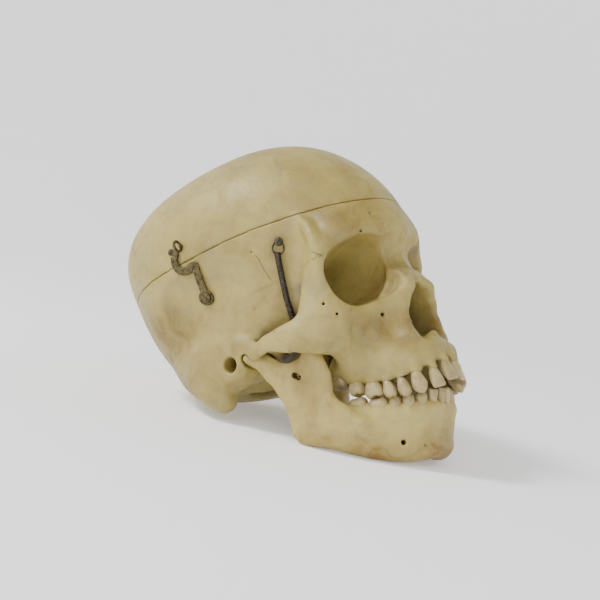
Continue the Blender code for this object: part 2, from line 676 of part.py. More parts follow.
def hook(name):
    """A flat brass hook: a curl that catches the eye, and a straight arm to the screw."""
    centre, out = face_normal(5, 48)
    route = smooth_route(HOOK_ROUTE, 2) + [HOOK_ARM_END]
    points, half, depth = [], HOOK_WIDTH / 2, HOOK_THICKNESS / 2
    for i, (y, z) in enumerate(route):
        before, after = route[max(i - 1, 0)], route[min(i + 1, len(route) - 1)]
        along = Vector((0, after[0] - before[0], after[1] - before[1])).normalized()
        side = Vector((0, -along.z, along.y))
        base, normal = face_normal(y, z)
        middle = base + normal * HOOK_LIFT
        points += [middle + side * a * half + normal * b * depth for a, b in ((-1, -1), (1, -1), (1, 1), (-1, 1))]
    faces = [
        (4 * r + i, 4 * r + (i + 1) % 4, 4 * r + 4 + (i + 1) % 4, 4 * r + 4 + i)
        for r in range(len(route) - 1)
        for i in range(4)
    ]
    last = 4 * (len(route) - 1)
    faces += [(3, 2, 1, 0), (last, last + 1, last + 2, last + 3)]
    arm = mesh_object(name, points, faces)
    bm = bmesh.new()
    bm.from_mesh(arm.data)
    bmesh.ops.recalc_face_normals(bm, faces=bm.faces[:])
    bm.to_mesh(arm.data)
    bm.free()
    base, normal = face_normal(*HOOK_ARM_END)
    place = base + normal * (HOOK_LIFT - depth)
    ring = turned("ring", [(HOOK_RING, 0), (HOOK_RING, 2 * depth)], place, normal, 20)
    bore = turned("bore", [(HOOK_SCREW_HEAD * 0.55, -3), (HOOK_SCREW_HEAD * 0.55, 3)], place, normal, 12)
    boolean(arm, "UNION", ring)
    boolean(arm, "DIFFERENCE", bore)
    remove(ring, bore)
    keep_largest(arm)
    return arm


def hook_screw(name):
    base, normal = face_normal(*HOOK_ARM_END)
    top = HOOK_LIFT + HOOK_THICKNESS / 2 + 3 * GAP
    shank = HOOK_SCREW_HEAD * 0.55 - GAP
    profile = [(shank, GAP + 0.3), (shank, top), (HOOK_SCREW_HEAD, top), (HOOK_SCREW_HEAD, top + 0.6),
               (HOOK_SCREW_HEAD * 0.6, top + 1.1)]
    return turned(name, profile, base, normal)


def hook_eye(name):
    """A screw eye: a wire ring on a short stem."""
    base, normal = face_normal(*EYE_PLACE)
    centre = base + normal * (EYE_RING + EYE_WIRE + 1.6)
    across = (Vector((0, 0, 1)) - normal * normal.z).normalized()
    ring_points = [
        centre + (normal * math.cos(a) + across * math.sin(a)) * EYE_RING
        for a in (2 * math.pi * i / 16 for i in range(16))
    ]
    ring = tube(name, ring_points, [EYE_WIRE] * 16, cyclic=True, resolution=1)
    stem = turned("stem", [(EYE_WIRE * 1.1, 0.5), (EYE_WIRE * 1.1, 2.0 + EYE_WIRE)], base, normal, 8)
    boolean(ring, "UNION", stem)
    remove(stem)
    keep_largest(ring)
    return ring


def spring_pin(name):
    base, normal = face_normal(*PIN_PLACE)
    profile = [(PIN_SHANK, 0.5), (PIN_SHANK, 3.4), (PIN_HEAD * 0.8, 3.5), (PIN_HEAD, 4.2), (PIN_HEAD * 0.9, 5.0),
               (PIN_HEAD * 0.5, 5.6)]
    return turned(name, profile, base, normal, 14)


def spring(name):
    """The coil as a plain rod, with the bare wire of its tail led down to the hole in the jaw."""
    stations = []
    for y, z in SPRING_ROUTE:
        base, normal = face_normal(y, z)
        stations.append(tuple(base + normal * SPRING_LIFT))
    route = smooth_route(stations + SPRING_TAIL[:1], 3)
    tail = smooth_route(SPRING_TAIL, 3)[1:]
    wire = SPRING_RADIUS * 0.32
    radii = [SPRING_RADIUS] * len(route) + [wire] * len(tail)
    return tube(name, route + tail, radii, resolution=1)


def mirrored_copy(thing, name):
    other = thing.copy()
    other.data = thing.data.copy()
    other.name = other.data.name = name
    bpy.context.scene.collection.objects.link(other)
    bm = bmesh.new()
    bm.from_mesh(other.data)
    bm.transform(Matrix.Scale(-1, 4, (1, 0, 0)))
    bmesh.ops.reverse_faces(bm, faces=bm.faces[:])
    bm.to_mesh(other.data)
    bm.free()
    return other


def material(name, colour, roughness, metallic):
    made = bpy.data.materials.new(name)
    made.use_nodes = True
    shader = made.node_tree.nodes["Principled BSDF"]
    shader.inputs["Base Color"].default_value = (*colour, 1)
    shader.inputs["Roughness"].default_value = roughness
    shader.inputs["Metallic"].default_value = metallic
    made.diffuse_color = (*colour, 1)
    return made


def lay_down(things):
    """Leans the skull back to where it lies, in metres."""
    lean = Matrix.Rotation(math.radians(-LEAN), 4, "X")
    place = Matrix.Scale(MM, 4) @ Matrix.Translation(REST) @ lean
    for thing in things:
        thing.data.transform(place)


def main():
    for thing in list(bpy.data.objects):
        bpy.data.objects.remove(thing)
    low, high = (-HALF_WIDTH, FRONT, BOTTOM), (HALF_WIDTH, BACK, TOP)
    head = bone_body("braincase", cranium, low, (HALF_WIDTH, BACK, TOP), CRANIUM_FACETS)
    lower_jaw = bone_body("jaw", jaw, low, (HALF_WIDTH, 10, 0), JAW_FACETS)
    bone = material("bone", BONE, 0.6, 0)
    toothy = material("jaw_bone", TOOTH_BONE, 0.55, 0)
    brass = material("aged_brass", BRASS, 0.45, 1)
    steel = material("spring_steel", STEEL, 0.4, 1)
    cap = part_off(head, "skullcap", CAP_PLANES)
    cheeks = [part_off(head, "cheek_left", CHEEK_PLANES), part_off(head, "cheek_right", mirror_planes(CHEEK_PLANES))]
    nasal = part_off(head, "nasal_bones", NASAL_PLANES)
    face = part_off(head, "upper_jaw", FACE_PLANES)
    forehead = part_off(head, "forehead", BROW_PLANES)
    add_teeth(face, UPPER)
    add_teeth(lower_jaw, LOWER)
    for side in (1, -1):
        y, z = RAMUS_HOLE
        drill = turned("drill", [(RAMUS_HOLE_RADIUS, 0), (RAMUS_HOLE_RADIUS, 30)], Vector((side * 35, y, z)),
                       Vector((side, 0, 0)), 12)
        boolean(lower_jaw, "DIFFERENCE", drill)
        remove(drill)
    fittings = []
    for make, name, finish in (
        (hook, "hook", brass), (hook_screw, "hook_screw", brass), (hook_eye, "hook_eye", brass),
        (spring_pin, "spring_pin", steel), (spring, "spring", steel),
    ):
        left = make(name + "_left")
        right = mirrored_copy(left, name + "_right")
        for piece in (left, right):
            piece.data.materials.clear()
            piece.data.materials.append(finish)
            fittings.append(piece)
    bones = [head, cap, forehead, nasal, *cheeks]
    for piece in bones:
        piece.data.materials.clear()
        piece.data.materials.append(bone)
    for piece in (face, lower_jaw):
        piece.data.materials.clear()
        piece.data.materials.append(toothy)
    lay_down([*bones, face, lower_jaw, *fittings])


main()
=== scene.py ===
import math

import bmesh
import bpy
import numpy as np
from mathutils import Matrix, Vector


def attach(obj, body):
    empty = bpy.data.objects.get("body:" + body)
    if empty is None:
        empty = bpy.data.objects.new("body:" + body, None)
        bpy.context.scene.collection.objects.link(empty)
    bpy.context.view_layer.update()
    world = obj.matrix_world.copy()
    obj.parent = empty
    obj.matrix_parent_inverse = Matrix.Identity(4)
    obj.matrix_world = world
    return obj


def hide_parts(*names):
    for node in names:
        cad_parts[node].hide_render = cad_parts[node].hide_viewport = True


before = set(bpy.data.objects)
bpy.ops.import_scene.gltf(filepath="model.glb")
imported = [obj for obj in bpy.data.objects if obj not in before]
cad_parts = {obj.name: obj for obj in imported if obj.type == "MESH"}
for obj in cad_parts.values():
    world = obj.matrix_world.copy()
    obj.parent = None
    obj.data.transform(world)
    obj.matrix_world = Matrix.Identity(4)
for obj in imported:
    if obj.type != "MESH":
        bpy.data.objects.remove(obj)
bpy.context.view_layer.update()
print("skull: frame loaded")

# Bone is shaped upright in millimetres, midway between the ear canals, face towards -Y, then laid back to rest.
resting = {"lean": 31.4, "place": (0.0, 1.38, 40.5)}
seam = {"gap": -0.3, "socketGap": -0.45, "saw": 0.16, "sawHeight": 53.4, "sawSlope": -0.045,
        "jointClearance": 0.7}


def worldOf(points):
    a = math.radians(resting["lean"])
    x, y, z = np.asarray(points, float).T
    turned = np.stack([x, y * math.cos(a) + z * math.sin(a), z * math.cos(a) - y * math.sin(a)], 1)
    return (turned + resting["place"]) * 0.001


# Distances to shapes in millimetres, below zero inside. Stations are a place and a radius.
def vec(*numbers):
    return np.array(numbers, np.float32)


def melt(a, b, k):
    h = np.maximum(k - np.abs(a - b), 0) / k
    return np.minimum(a, b) - h * h * k * 0.25


def carve(a, b, k):
    return -melt(-a, -b, k)


def turnZ(degrees):
    c, s = math.cos(math.radians(degrees)), math.sin(math.radians(degrees))
    return np.array([[c, -s, 0], [s, c, 0], [0, 0, 1]], np.float32)


def ball(p, centre, radii, turned=0):
    q = (p - vec(*centre)) @ turnZ(turned)
    r = vec(*radii)
    k0 = np.sqrt(((q / r) ** 2).sum(1))
    k1 = np.sqrt(((q / (r * r)) ** 2).sum(1))
    return k0 * (k0 - 1) / np.maximum(k1, 1e-6)


def rod(p, a, b):
    start, end = vec(*a[:3]), vec(*b[:3])
    along = end - start
    q = p - start
    h = np.clip(q @ along / (along @ along), 0, 1)
    e = q - h[:, None] * along
    return np.sqrt((e * e).sum(1)) - (a[3] + (b[3] - a[3]) * h)


def chain(p, stations, k):
    d = rod(p, stations[0], stations[1])
    for a, b in zip(stations[1:], stations[2:]):
        d = melt(d, rod(p, a, b), k)
    return d


def beyond(p, point, normal):
    n = vec(*normal)
    return (p - vec(*point)) @ (n / np.linalg.norm(n))


def squash(p, centre, normal, share):
    n = vec(*normal)
    n /= np.linalg.norm(n)
    return p + ((p - vec(*centre)) @ n)[:, None] * n * (1 / share - 1)


def outlineDistance(u, w, corners):
    d = np.full(u.shape, 1e9, np.float32)
    sign = np.ones(u.shape, np.float32)
    for (ax, ay), (bx, by) in zip(corners, corners[-1:] + corners[:-1]):
        ex, ey, wx, wy = bx - ax, by - ay, u - ax, w - ay
        t = np.clip((wx * ex + wy * ey) / (ex * ex + ey * ey), 0, 1)
        d = np.minimum(d, (wx - ex * t) ** 2 + (wy - ey * t) ** 2)
        above, below, left = w >= ay, w < by, ex * wy > ey * wx
        sign = np.where((above & below & left) | (~above & ~below & ~left), -sign, sign)
    return sign * np.sqrt(d)


def ripple(p, wave, seed, count=5):
    rng = np.random.default_rng(seed)
    total = np.zeros(len(p), np.float32)
    for _ in range(count):
        k = rng.normal(size=3)
        k *= 2 * math.pi / wave * rng.uniform(0.7, 1.5) / np.linalg.norm(k)
        total += np.sin(p @ k.astype(np.float32) + rng.uniform(0, 6.28))
    return total / count


# Each tooth: edge or cusps, end of root, half width along the row, half depth across it, crown height, kind.
upperTeeth = [
    ((4.5, -100.4, -51.0), (4.2, -93.6, -30.0), 4.0, 3.3, 10.8, "incisor"),
    ((12.6, -96.2, -53.6), (11.0, -91.5, -33.5), 3.7, 3.2, 10.0, "incisor"),
    ((19.6, -89.4, -54.2), (17.2, -85.5, -35.5), 4.3, 4.2, 10.8, "canine"),
    ((23.4, -81.8, -53.3), (21.6, -79.5, -37.0), 3.5, 4.4, 8.5, "premolar"),
    ((26.4, -74.6, -51.8), (24.3, -72.3, -36.0), 3.5, 4.5, 8.0, "premolar"),
    ((28.8, -66.6, -49.8), (26.8, -66.0, -35.0), 5.1, 5.5, 7.6, "molar"),
    ((30.2, -57.6, -46.0), (28.2, -57.6, -32.0), 4.6, 5.3, 7.3, "molar"),
    ((30.8, -48.2, -38.8), (28.6, -48.0, -26.0), 4.9, 5.2, 8.0, "molar"),
]
lowerTeeth = [
    ((2.7, -91.0, -52.6), (2.6, -83.0, -66.0), 2.5, 3.0, 8.6, "incisor"),
    ((8.0, -89.2, -52.6), (7.6, -81.5, -66.0), 2.7, 3.1, 8.6, "incisor"),
    ((13.6, -85.4, -52.0), (13.0, -79.0, -66.0), 3.2, 3.8, 9.6, "canine"),
    ((18.7, -80.2, -53.0), (18.4, -75.0, -65.0), 3.3, 4.0, 8.2, "premolar"),
    ((22.8, -74.0, -52.2), (22.6, -70.4, -64.0), 3.4, 4.2, 7.8, "premolar"),
    ((26.6, -65.8, -50.7), (26.6, -64.4, -62.0), 5.3, 5.0, 7.0, "molar"),
    ((29.8, -55.4, -47.3), (30.0, -55.2, -59.0), 5.1, 4.9, 6.8, "molar"),
]
# Crown from edge (0) to neck (1), then root (1 to 2): share, half width, half depth, squareness.
toothShapes = {
    "incisor": [(0, .88, .22, 2.6), (.06, .96, .36, 2.8), (.3, .98, .62, 2.6), (.65, .84, .88, 2.4),
                (1, .63, .93, 2.1), (1.4, .55, .84, 2.1), (2, .36, .55, 2)],
    "canine": [(0, .4, .3, 2.2), (.12, .7, .5, 2.4), (.35, .98, .85, 2.4), (.7, .84, .98, 2.3),
               (1, .64, .92, 2.1), (1.4, .56, .86, 2.1), (2, .36, .55, 2)],
    "premolar": [(0, .66, .6, 2.2), (.12, .86, .8, 2.4), (.38, 1, 1, 2.4), (.72, .84, .94, 2.3),
                 (1, .62, .82, 2.2), (1.4, .55, .76, 2.2), (2, .38, .5, 2)],
    "molar": [(0, .74, .66, 2.5), (.12, .9, .84, 2.7), (.38, .99, 1, 2.7), (.72, .88, .95, 2.6),
              (1, .7, .82, 2.4), (1.4, .66, .78, 2.3), (2, .44, .55, 2.1)],
}
# Bite: dip of the middle, its power, then height, place from middle (0) to edge (1) and number of the cusps.
teeth = {
    "around": 32, "crownRings": 14, "rootRings": 7, "biteRings": (0.16, 0.34, 0.52, 0.7, 0.86),
    "turnDegrees": 4.0, "lengthMm": 0.35, "waist": 0.06, "waistWidth": 0.22, "oldest": 7,
    "bite": {"incisor": (0.12, 1, 0, 0.7, 0), "canine": (-0.9, 1, 0, 0.7, 0),
             "premolar": (0.7, 0.7, 0.8, 0.7, 2), "molar": (0.75, 0.7, 0.75, 0.72, 4)},
}


def toothMesh(row, outward, jitter):
    tip, root, wide, deep, crown, kind = row
    tip, root = np.array(tip, float), np.array(root, float)
    length = np.linalg.norm(root - tip)
    axis = (root - tip) / length
    tip = tip - axis * jitter[1] * teeth["lengthMm"]
    through = outward - axis * (outward @ axis)
    through /= np.linalg.norm(through)
    across = np.cross(axis, through)
    swing = math.radians(jitter[0] * teeth["turnDegrees"])
    c, s = math.cos(swing), math.sin(swing)
    across, through = across * c + through * s, through * c - across * s
    keys = np.array(toothShapes[kind])
    angles = np.arange(teeth["around"]) * 2 * math.pi / teeth["around"]
    c, s = np.cos(angles), np.sin(angles)
    rings, glaze = [], []

    def ring(share, shrink, sink):
        a, b, square = (np.interp(share, keys[:, 0], keys[:, k]) for k in (1, 2, 3))
        u = a * wide * shrink * np.sign(c) * np.abs(c) ** (2 / square)
        w = b * deep * shrink * np.sign(s) * np.abs(s) ** (2 / square)
        if kind == "molar" and share < 1.2:
            w = w * (1 - teeth["waist"] * np.exp(-((c / teeth["waistWidth"]) ** 2)))
        down = share * crown if share < 1 else crown + (share - 1) * (length - crown)
        rings.append(tip + np.outer(u, across) + np.outer(w, through) + np.outer(down + sink, axis))
        glaze.append(np.full(len(c), np.clip((1.04 - share) / 0.12, 0, 1)))

    dip, power, height, place, count = teeth["bite"][kind]
    for f in teeth["biteRings"]:
        cusps = height * np.exp(-(((f - place) / 0.3) ** 2)) * (0.5 - 0.5 * np.cos(count * angles))
        ring(0, f, dip * (1 - f) ** power - cusps)
    for share in np.linspace(0, 1, teeth["crownRings"]) ** 1.3:
        ring(share, 1, 0)
    for share in np.linspace(0, 1, teeth["rootRings"] + 1)[1:]:
        ring(1 + share, 1, 0)
    ring(2, 0.5, 0.5)
    index = np.arange(len(rings) * len(c)).reshape(len(rings), -1)
    after = np.roll(index, -1, 1)
    sides = np.stack([index[:-1], index[1:], after[1:], after[:-1]], -1).reshape(-1, 4)
    faces = [tuple(f) for f in sides] + [tuple(index[0]), tuple(index[-1][::-1])]
    return np.concatenate(rings), faces, np.concatenate(glaze)


def toothRow(name, rows, seed):
    random = np.random.default_rng(seed)
    points, faces, glaze, age, start = [], [], [], [], 0
    tips = [np.array(r[0], float) for r in rows]
    for i, row in enumerate(rows):
        before = tips[i - 1] if i else tips[0] * [-1, 1, 1]
        along = tips[min(i + 1, len(rows) - 1)] - before
        outward = np.array([-along[1], along[0], 0])
        outward *= np.sign(outward @ (tips[i] - [0, -50, 0]))
        outward /= np.linalg.norm(outward)
        for side in (1, -1):
            p, f, g = toothMesh(row, outward, random.uniform(-1, 1, 2))
            points.append(p * [side, 1, 1])
            faces += [tuple(start + k for k in q[::side]) for q in f]
            glaze.append(g)
            stain = random.uniform(0, 0.5) + (0.5 if i == teeth["oldest"] else 0)
            age.append(np.full(len(p), stain))
            start += len(p)
    thing = makeMesh(name, np.concatenate(points), faces)
    bm = bmesh.new()
    bm.from_mesh(thing.data)
    bmesh.ops.recalc_face_normals(bm, faces=bm.faces[:])
    bm.to_mesh(thing.data)
    bm.free()
    setAttribute(thing, "glaze", np.concatenate(glaze))
    setAttribute(thing, "age", np.concatenate(age))
    pieces.append(thing)
    print("skull:", name, len(thing.data.polygons), "faces")


# Braincase and face.
cranium = {
    "midline": 6.0,
    "socketDeep": (12, -38, 18), "socketMouth": (28.5, -76, 16.8), "socketDroop": 14,
    "browLine": [(0, -84.6, 40, 7.6), (10, -82.8, 39.5, 6.0), (20, -79.7, 41, 4.8), (30, -75.7, 42, 4.3),
                 (37.5, -71.4, 41, 4.1), (43.5, -67, 35, 3.7), (46, -64, 29, 3.4)],
    "archBow": ([-64, -56, -50, -42, -32, -22, -12, 0], [46, 51.5, 55, 58.2, 60, 60, 58.5, 56.5]),
    "archLine": [(-60, -10.6, 8.4), (-51, -10.9, 7.6), (-45.5, -9.8, 7.0), (-42, -9.1, 6.0), (-36, -8.5, 4.6),
                 (-29, -7.4, 3.1), (-24, -8.7, 2.5), (-18, -8.8, 3.0), (-10, -6.5, 4.2), (4, -2.5, 5)],
    "gumLine": [(0, -93, -31.5, 5.4), (9, -91.2, -33.5, 5.4), (16.3, -85.8, -36, 5.6), (21.6, -77.5, -36, 6.2),
                (25, -68.5, -34.5, 6.6), (27.3, -59, -32, 6.8), (27.8, -50, -29, 6.8)],
    "noseWidths": ([-30, -24, -19, -13, -5, 2, 7], [5, 10, 12, 12.6, 10.4, 6.8, 3.6]),
}


def vault(p):
    soft = cranium["midline"]
    p = np.sqrt(p * p + soft * soft) * vec(1, 0, 0) + p * vec(0, 1, 1)
    d = ball(p, (0, -2.9, 42.2), (57.3, 90.1, 70.2))
    d = melt(d, ball(p, (0, -23.6, 62.8), (53.9, 44.1, 49.4)), 22)
    d = melt(d, ball(p, (22.5, 18, 70.1), (46.7, 60.3, 38.4)), 25)
    d = melt(d, ball(p, (0, 29.8, 36.3), (65.7, 40.9, 41.2)), 20)
    d = melt(d, ball(p, (19.8, 36, -0.2), (29.1, 21.4, 18.3)), 16)
    d = melt(d, ball(p, (35.1, -12.1, 12.2), (26.1, 30.1, 26)), 14)
    d = carve(d, beyond(p, (0, 5, -19), (0, -0.383, -0.923)), 10)
    return carve(d, beyond(p, (0, 30, -16), (0, 0.15, -1)), 8)


def socketSide(p):
    q = squash(p, (46.3, -59.5, 13), (0.93, -0.36, 0.08), 0.42)
    plate = chain(q, [(45.5, -63.8, 30, 4.4), (46.2, -61.8, 23, 5.8), (46.6, -59.8, 14, 6.8),
                      (46.8, -59, 4, 8.4), (46.6, -59.5, -8, 10.5)], 6)
    edge = chain(p, [(45.6, -63.6, 30, 3.2), (44.8, -63.2, 22, 2.9), (44.2, -62.6, 12, 2.9),
                     (43.6, -62.2, 2, 3.6)], 5)
    return melt(plate * 0.6, edge, 4)


def socketFloor(p):
    return chain(p, [(42.5, -62.5, -2.5, 5.4), (37.5, -67.2, -5, 5), (31, -71.2, -5.8, 4.6),
                     (22.5, -76, -3.5, 4.2), (15, -80, 3, 3.7), (10.8, -82, 12, 3.2), (8, -82.5, 21, 3.2),
                     (5.5, -83.5, 30, 4)], 5)


def noseRidge(p):
    middle = chain(p, [(0, -85.5, 37, 5.3), (0, -84.2, 30.5, 3.7), (0, -84.1, 25, 3), (0, -85.6, 19.8, 2.9),
                       (0, -87.8, 14.6, 2.8), (0, -92.2, 9, 2.6)], 4)
    side = chain(p, [(3, -84.5, 33, 4), (4.5, -84.5, 23, 3.2), (6, -88.5, 12, 2.8), (9, -92, 4.5, 2.4)], 4)
    return melt(middle, side, 5)


def cheekBody(p):
    q = squash(p, (44, -60, -8), (0.8, -0.58, -0.1), 0.6)
    body = chain(q, [(44, -60, -5, 11.5), (45, -59.2, -11.5, 9.2)], 8) * 0.75
    foot = chain(p, [(44, -60.5, -14.5, 5), (40, -62, -19, 4.6), (35.5, -61.5, -24, 4.8),
                     (31, -59, -29.5, 6)], 6)
    return melt(body, foot, 7)


def cheekArch(p):
    q = p.copy()
    q[:, 0] = (p[:, 0] - np.interp(p[:, 1], *cranium["archBow"])) / 0.45
    return chain(q, [(0, y, z, r) for y, z, r in cranium["archLine"]], 5) * 0.6


def upperJawBody(p):
    d = ball(p, (20, -64, -15), (17, 16.5, 20))
    d = melt(d, ball(p, (12, -77, -27), (14, 13.5, 17)), 8)
    d = melt(d, chain(p, cranium["gumLine"], 6), 6)
    noseEdge = [(9.3, -92, 4.5, 2.4), (12.8, -88.8, -4, 2.8), (14.6, -86.6, -14, 3.2), (14.5, -88, -23, 3.6)]
    d = melt(d, chain(p, noseEdge, 5), 5)
    d = melt(d, chain(p, [(9.5, -82, 17, 4.5), (13, -83, 4, 6), (17, -80, -8, 7)], 5), 5)
    return melt(d, rod(p, (0, -94.5, -19.5, 1.6), (0, -91, -26, 4)), 5)


def earRegion(p):
    d = ball(p, (48, 24, -2), (12, 20, 20), 12)
    d = melt(d, chain(p, [(52, 23, -8, 11), (52.5, 17.5, -20, 8), (52, 15, -25.5, 5.6)], 8), 8)
    d = melt(d, ball(p, (51, 2, -10), (9, 11, 10)), 7)
    return melt(d, ball(p, (43, -18, -8), (11, 9, 7)), 7)


def skullBase(p):
    d = ball(p, (0, 36, -4), (34, 24, 10))
    d = melt(d, chain(p, [(0, 3, -10, 8), (0, -20, -1, 10), (0, -38, 6, 12)], 8), 10)
    d = melt(d, ball(p, (15, 10, -13), (6, 10, 6), -25), 7)
    d = melt(d, chain(p, [(46, 2, -10, 9), (28, -6, -9, 8), (12, -16, -5, 7)], 6), 8)
    d = melt(d, chain(p, [(14, -32, 0, 6), (14, -35.5, -18, 4), (13, -38, -29, 3.2)], 4), 6)
    d = melt(d, chain(p, [(18, -32, 0, 6), (20, -35, -16, 3.5), (22, -37.5, -28, 2.6)], 4), 5)
    return melt(d, rod(p, (20, -38, 6, 14), (32, -42, 6, 12)), 10)


def eyeSocket(p, grow=0.0):
    deep, mouth = vec(*cranium["socketDeep"]), vec(*cranium["socketMouth"])
    axis = mouth - deep
    length = np.linalg.norm(axis)
    axis = axis / length
    out = np.cross(vec(0, 0, 1), axis)
    out *= np.sign(out[0]) / np.linalg.norm(out)
    up = np.cross(axis, out)
    up *= np.sign(up[2])
    droop = math.radians(cranium["socketDroop"])
    c, s = math.cos(droop), math.sin(droop)
    q = p - deep
    t = q @ axis
    share = np.clip(t / length, 0.02, 1.3)
    wide, high = 19.3 * share**0.62 + 0.3, 17.2 * share**0.55 + 0.3
    u = np.abs(q @ (out * c - up * s)) / wide
    w = np.abs(q @ (up * c + out * s)) / high
    d = ((u**2.6 + w**2.6) ** (1 / 2.6) - 1) * np.minimum(wide, high)
    return np.maximum(d * 0.9, -t) - grow


def socketShell(p):
    return carve(eyeSocket(p, 3.0), beyond(p, (29, -76, 17), (0.476, -0.847, -0.235)), 3)


def socketInnerEdge(p):
    return chain(p, [(9, -86, 30, 2.2), (9.2, -85.2, 23, 1.9), (10.6, -84.3, 15, 1.9), (13, -82.6, 7.5, 2.0),
                     (17, -80, 2.2, 2.2)], 3)


def noseHollow(p):
    z = p[:, 2]
    wide = np.interp(z, *cranium["noseWidths"])
    d = (np.abs(p[:, 0]) / wide - 1) * wide * 0.9
    d = carve(d, -(z + 21), 5)
    d = carve(d, beyond(p, (0, -92, 6), (0, -0.22, 0.97)), 5)
    return carve(d, beyond(p, (0, -46, 0), (0, 1, 0)), 6)


# Swellings of the bone over the roots, and the beds that hold them, as shares of each tooth's sizes.
roots = {"belowNeck": 1.5, "push": 0.45, "endPush": 0.18, "endThick": 0.5, "blend": 1.5,
         "bedDepth": 0.75, "shortDepth": 0.62, "bedMouth": 0.7, "bedEnd": 0.45}


def jugaOf(p, rows, reach, thick):
    d = np.full(len(p), 1e9, np.float32)
    for tip, root, wide, deep, crown, kind in rows:
        tip, root = np.array(tip), np.array(root)
        along = (root - tip) / np.linalg.norm(root - tip)
        neck = tip + along * (crown + roots["belowNeck"])
        end = root + along * reach
        out = np.array([tip[0] * 0.9, tip[1] + 52, 0])
        out *= deep / np.linalg.norm(out)
        neck, end = neck + out * roots["push"], end + out * roots["endPush"]
        thickness = wide * thick
        d = melt(d, rod(p, (*neck, thickness), (*end, thickness * roots["endThick"])), roots["blend"])
    return d


def toothBeds(p, rows):
    d = np.full(len(p), 1e9, np.float32)
    for tip, root, wide, deep, crown, kind in rows:
        tip, root = np.array(tip), np.array(root)
        short = kind == "incisor" and tip[2] >= root[2] - 16
        end = tip + (root - tip) * roots["shortDepth" if short else "bedDepth"]
        d = np.minimum(d, rod(p, (*tip, wide * roots["bedMouth"]), (*end, wide * roots["bedEnd"])))
    return d


# Small holes for nerves and blood vessels: outer end, inner end, radius.
holes = [((24.8, -84.5, -10.2), (22.5, -76, -6.5), 0.95), ((51.8, -66.5, 2.4), (47.5, -61, 1.5), 0.8),
         ((49.2, -71, -5.4), (45.5, -66.5, -5), 0.8), ((27.7, -88, 37.4), (27, -80, 38.5), 0.8),
         ((19.8, -91, 47.4), (19.4, -86, 47.8), 0.6), ((15.4, -94, 40), (15.2, -89, 40.4), 0.6),
         ((60, -32.2, 44), (56, -32.8, 43.8), 0.6)]


def craniumDetail(p, d):
    templeLine = [(47.6, -66.9, 30, 2.4), (47.9, -66.8, 36, 2.3), (46.9, -66, 41, 2.1),
                  (45.4, -63.6, 47, 2), (44.6, -58.6, 55, 1.2)]
    d = melt(d, chain(p, templeLine, 5), 3.5)
    d = carve(d, -ball(p, (56, -53, 33), (8.5, 12.5, 16)), 5)
    archRoot = [(59.5, -15, -3.5, 1.6), (59.6, -8, -0.6, 2.2), (58.5, 5, 3, 2.2), (58, 16, 6, 1.6)]
    d = melt(d, chain(p, archRoot, 5), 6)
    d = melt(d, chain(p, [(56, -4.5, -9, 2.6), (56.5, -3, -14.5, 2.6), (56.5, 3, -16.5, 2.2)], 4), 4)
    d = carve(d, -rod(p, (66, -2, -10.5, 4.6), (44, 0.5, -9, 3.6)), 1.2)
    d = carve(d, -chain(p, [(49, 12, -22, 1.6), (46, 22, -20, 1.6)], 2), 3)
    d = melt(d, jugaOf(p, upperTeeth, 3.0, 0.6), 3.5)
    d = carve(d, -toothBeds(p, upperTeeth), 1.0)
    d = carve(d, -ball(p, (27.5, -86, -15), (6, 4.6, 8)), 6)
    d = carve(d, -ball(p, (8.5, -93.2, 26), (9, 7.5, 10)), 5)
    d = melt(d, ball(p, (8.6, -66, -9), (2, 12, 4.2)), 2)
    d = melt(d, rod(p, (0.8, -80, -15, 0.9), (0.4, -62, 3, 0.9)), 2)
    d = carve(d, -ball(p, (12.4, -78, 6), (2.6, 3, 6)), 2)
    d = carve(d, -rod(p, (17, -47, 14, 1.6), (27, -52, 24, 1.6)), 2)
    d = carve(d, -rod(p, (23, -52, 3.5, 1.5), (34, -64, 3.2, 1.5)), 2)
    for a, b, r in holes:
        d = carve(d, -rod(p, (*a, r), (*b, r)), 0.8)
    return d


def craniumField(p):
    d = melt(vault(p), chain(p, cranium["browLine"], 6), 12)
    for part, k in ((socketSide, 6), (socketFloor, 5), (noseRidge, 6), (socketShell, 4), (upperJawBody, 8),
                    (cheekBody, 8), (cheekArch, 6), (earRegion, 9), (skullBase, 9)):
        d = melt(d, part(p), k)
    d = carve(d, -eyeSocket(p), 1.6)
    d = melt(d, socketInnerEdge(p), 2.5)
    d = carve(d, -noseHollow(p), 2.5)
    d = carve(d, -ball(p, (0, -66, -44), (21, 30, 15)), 5)
    d = carve(d, -rod(p, (0, 20, -30, 15.5), (0, 20, -12, 15)), 4)
    d = craniumDetail(p, d)
    return carve(d, seam["jointClearance"] - jawBody(p), 2)


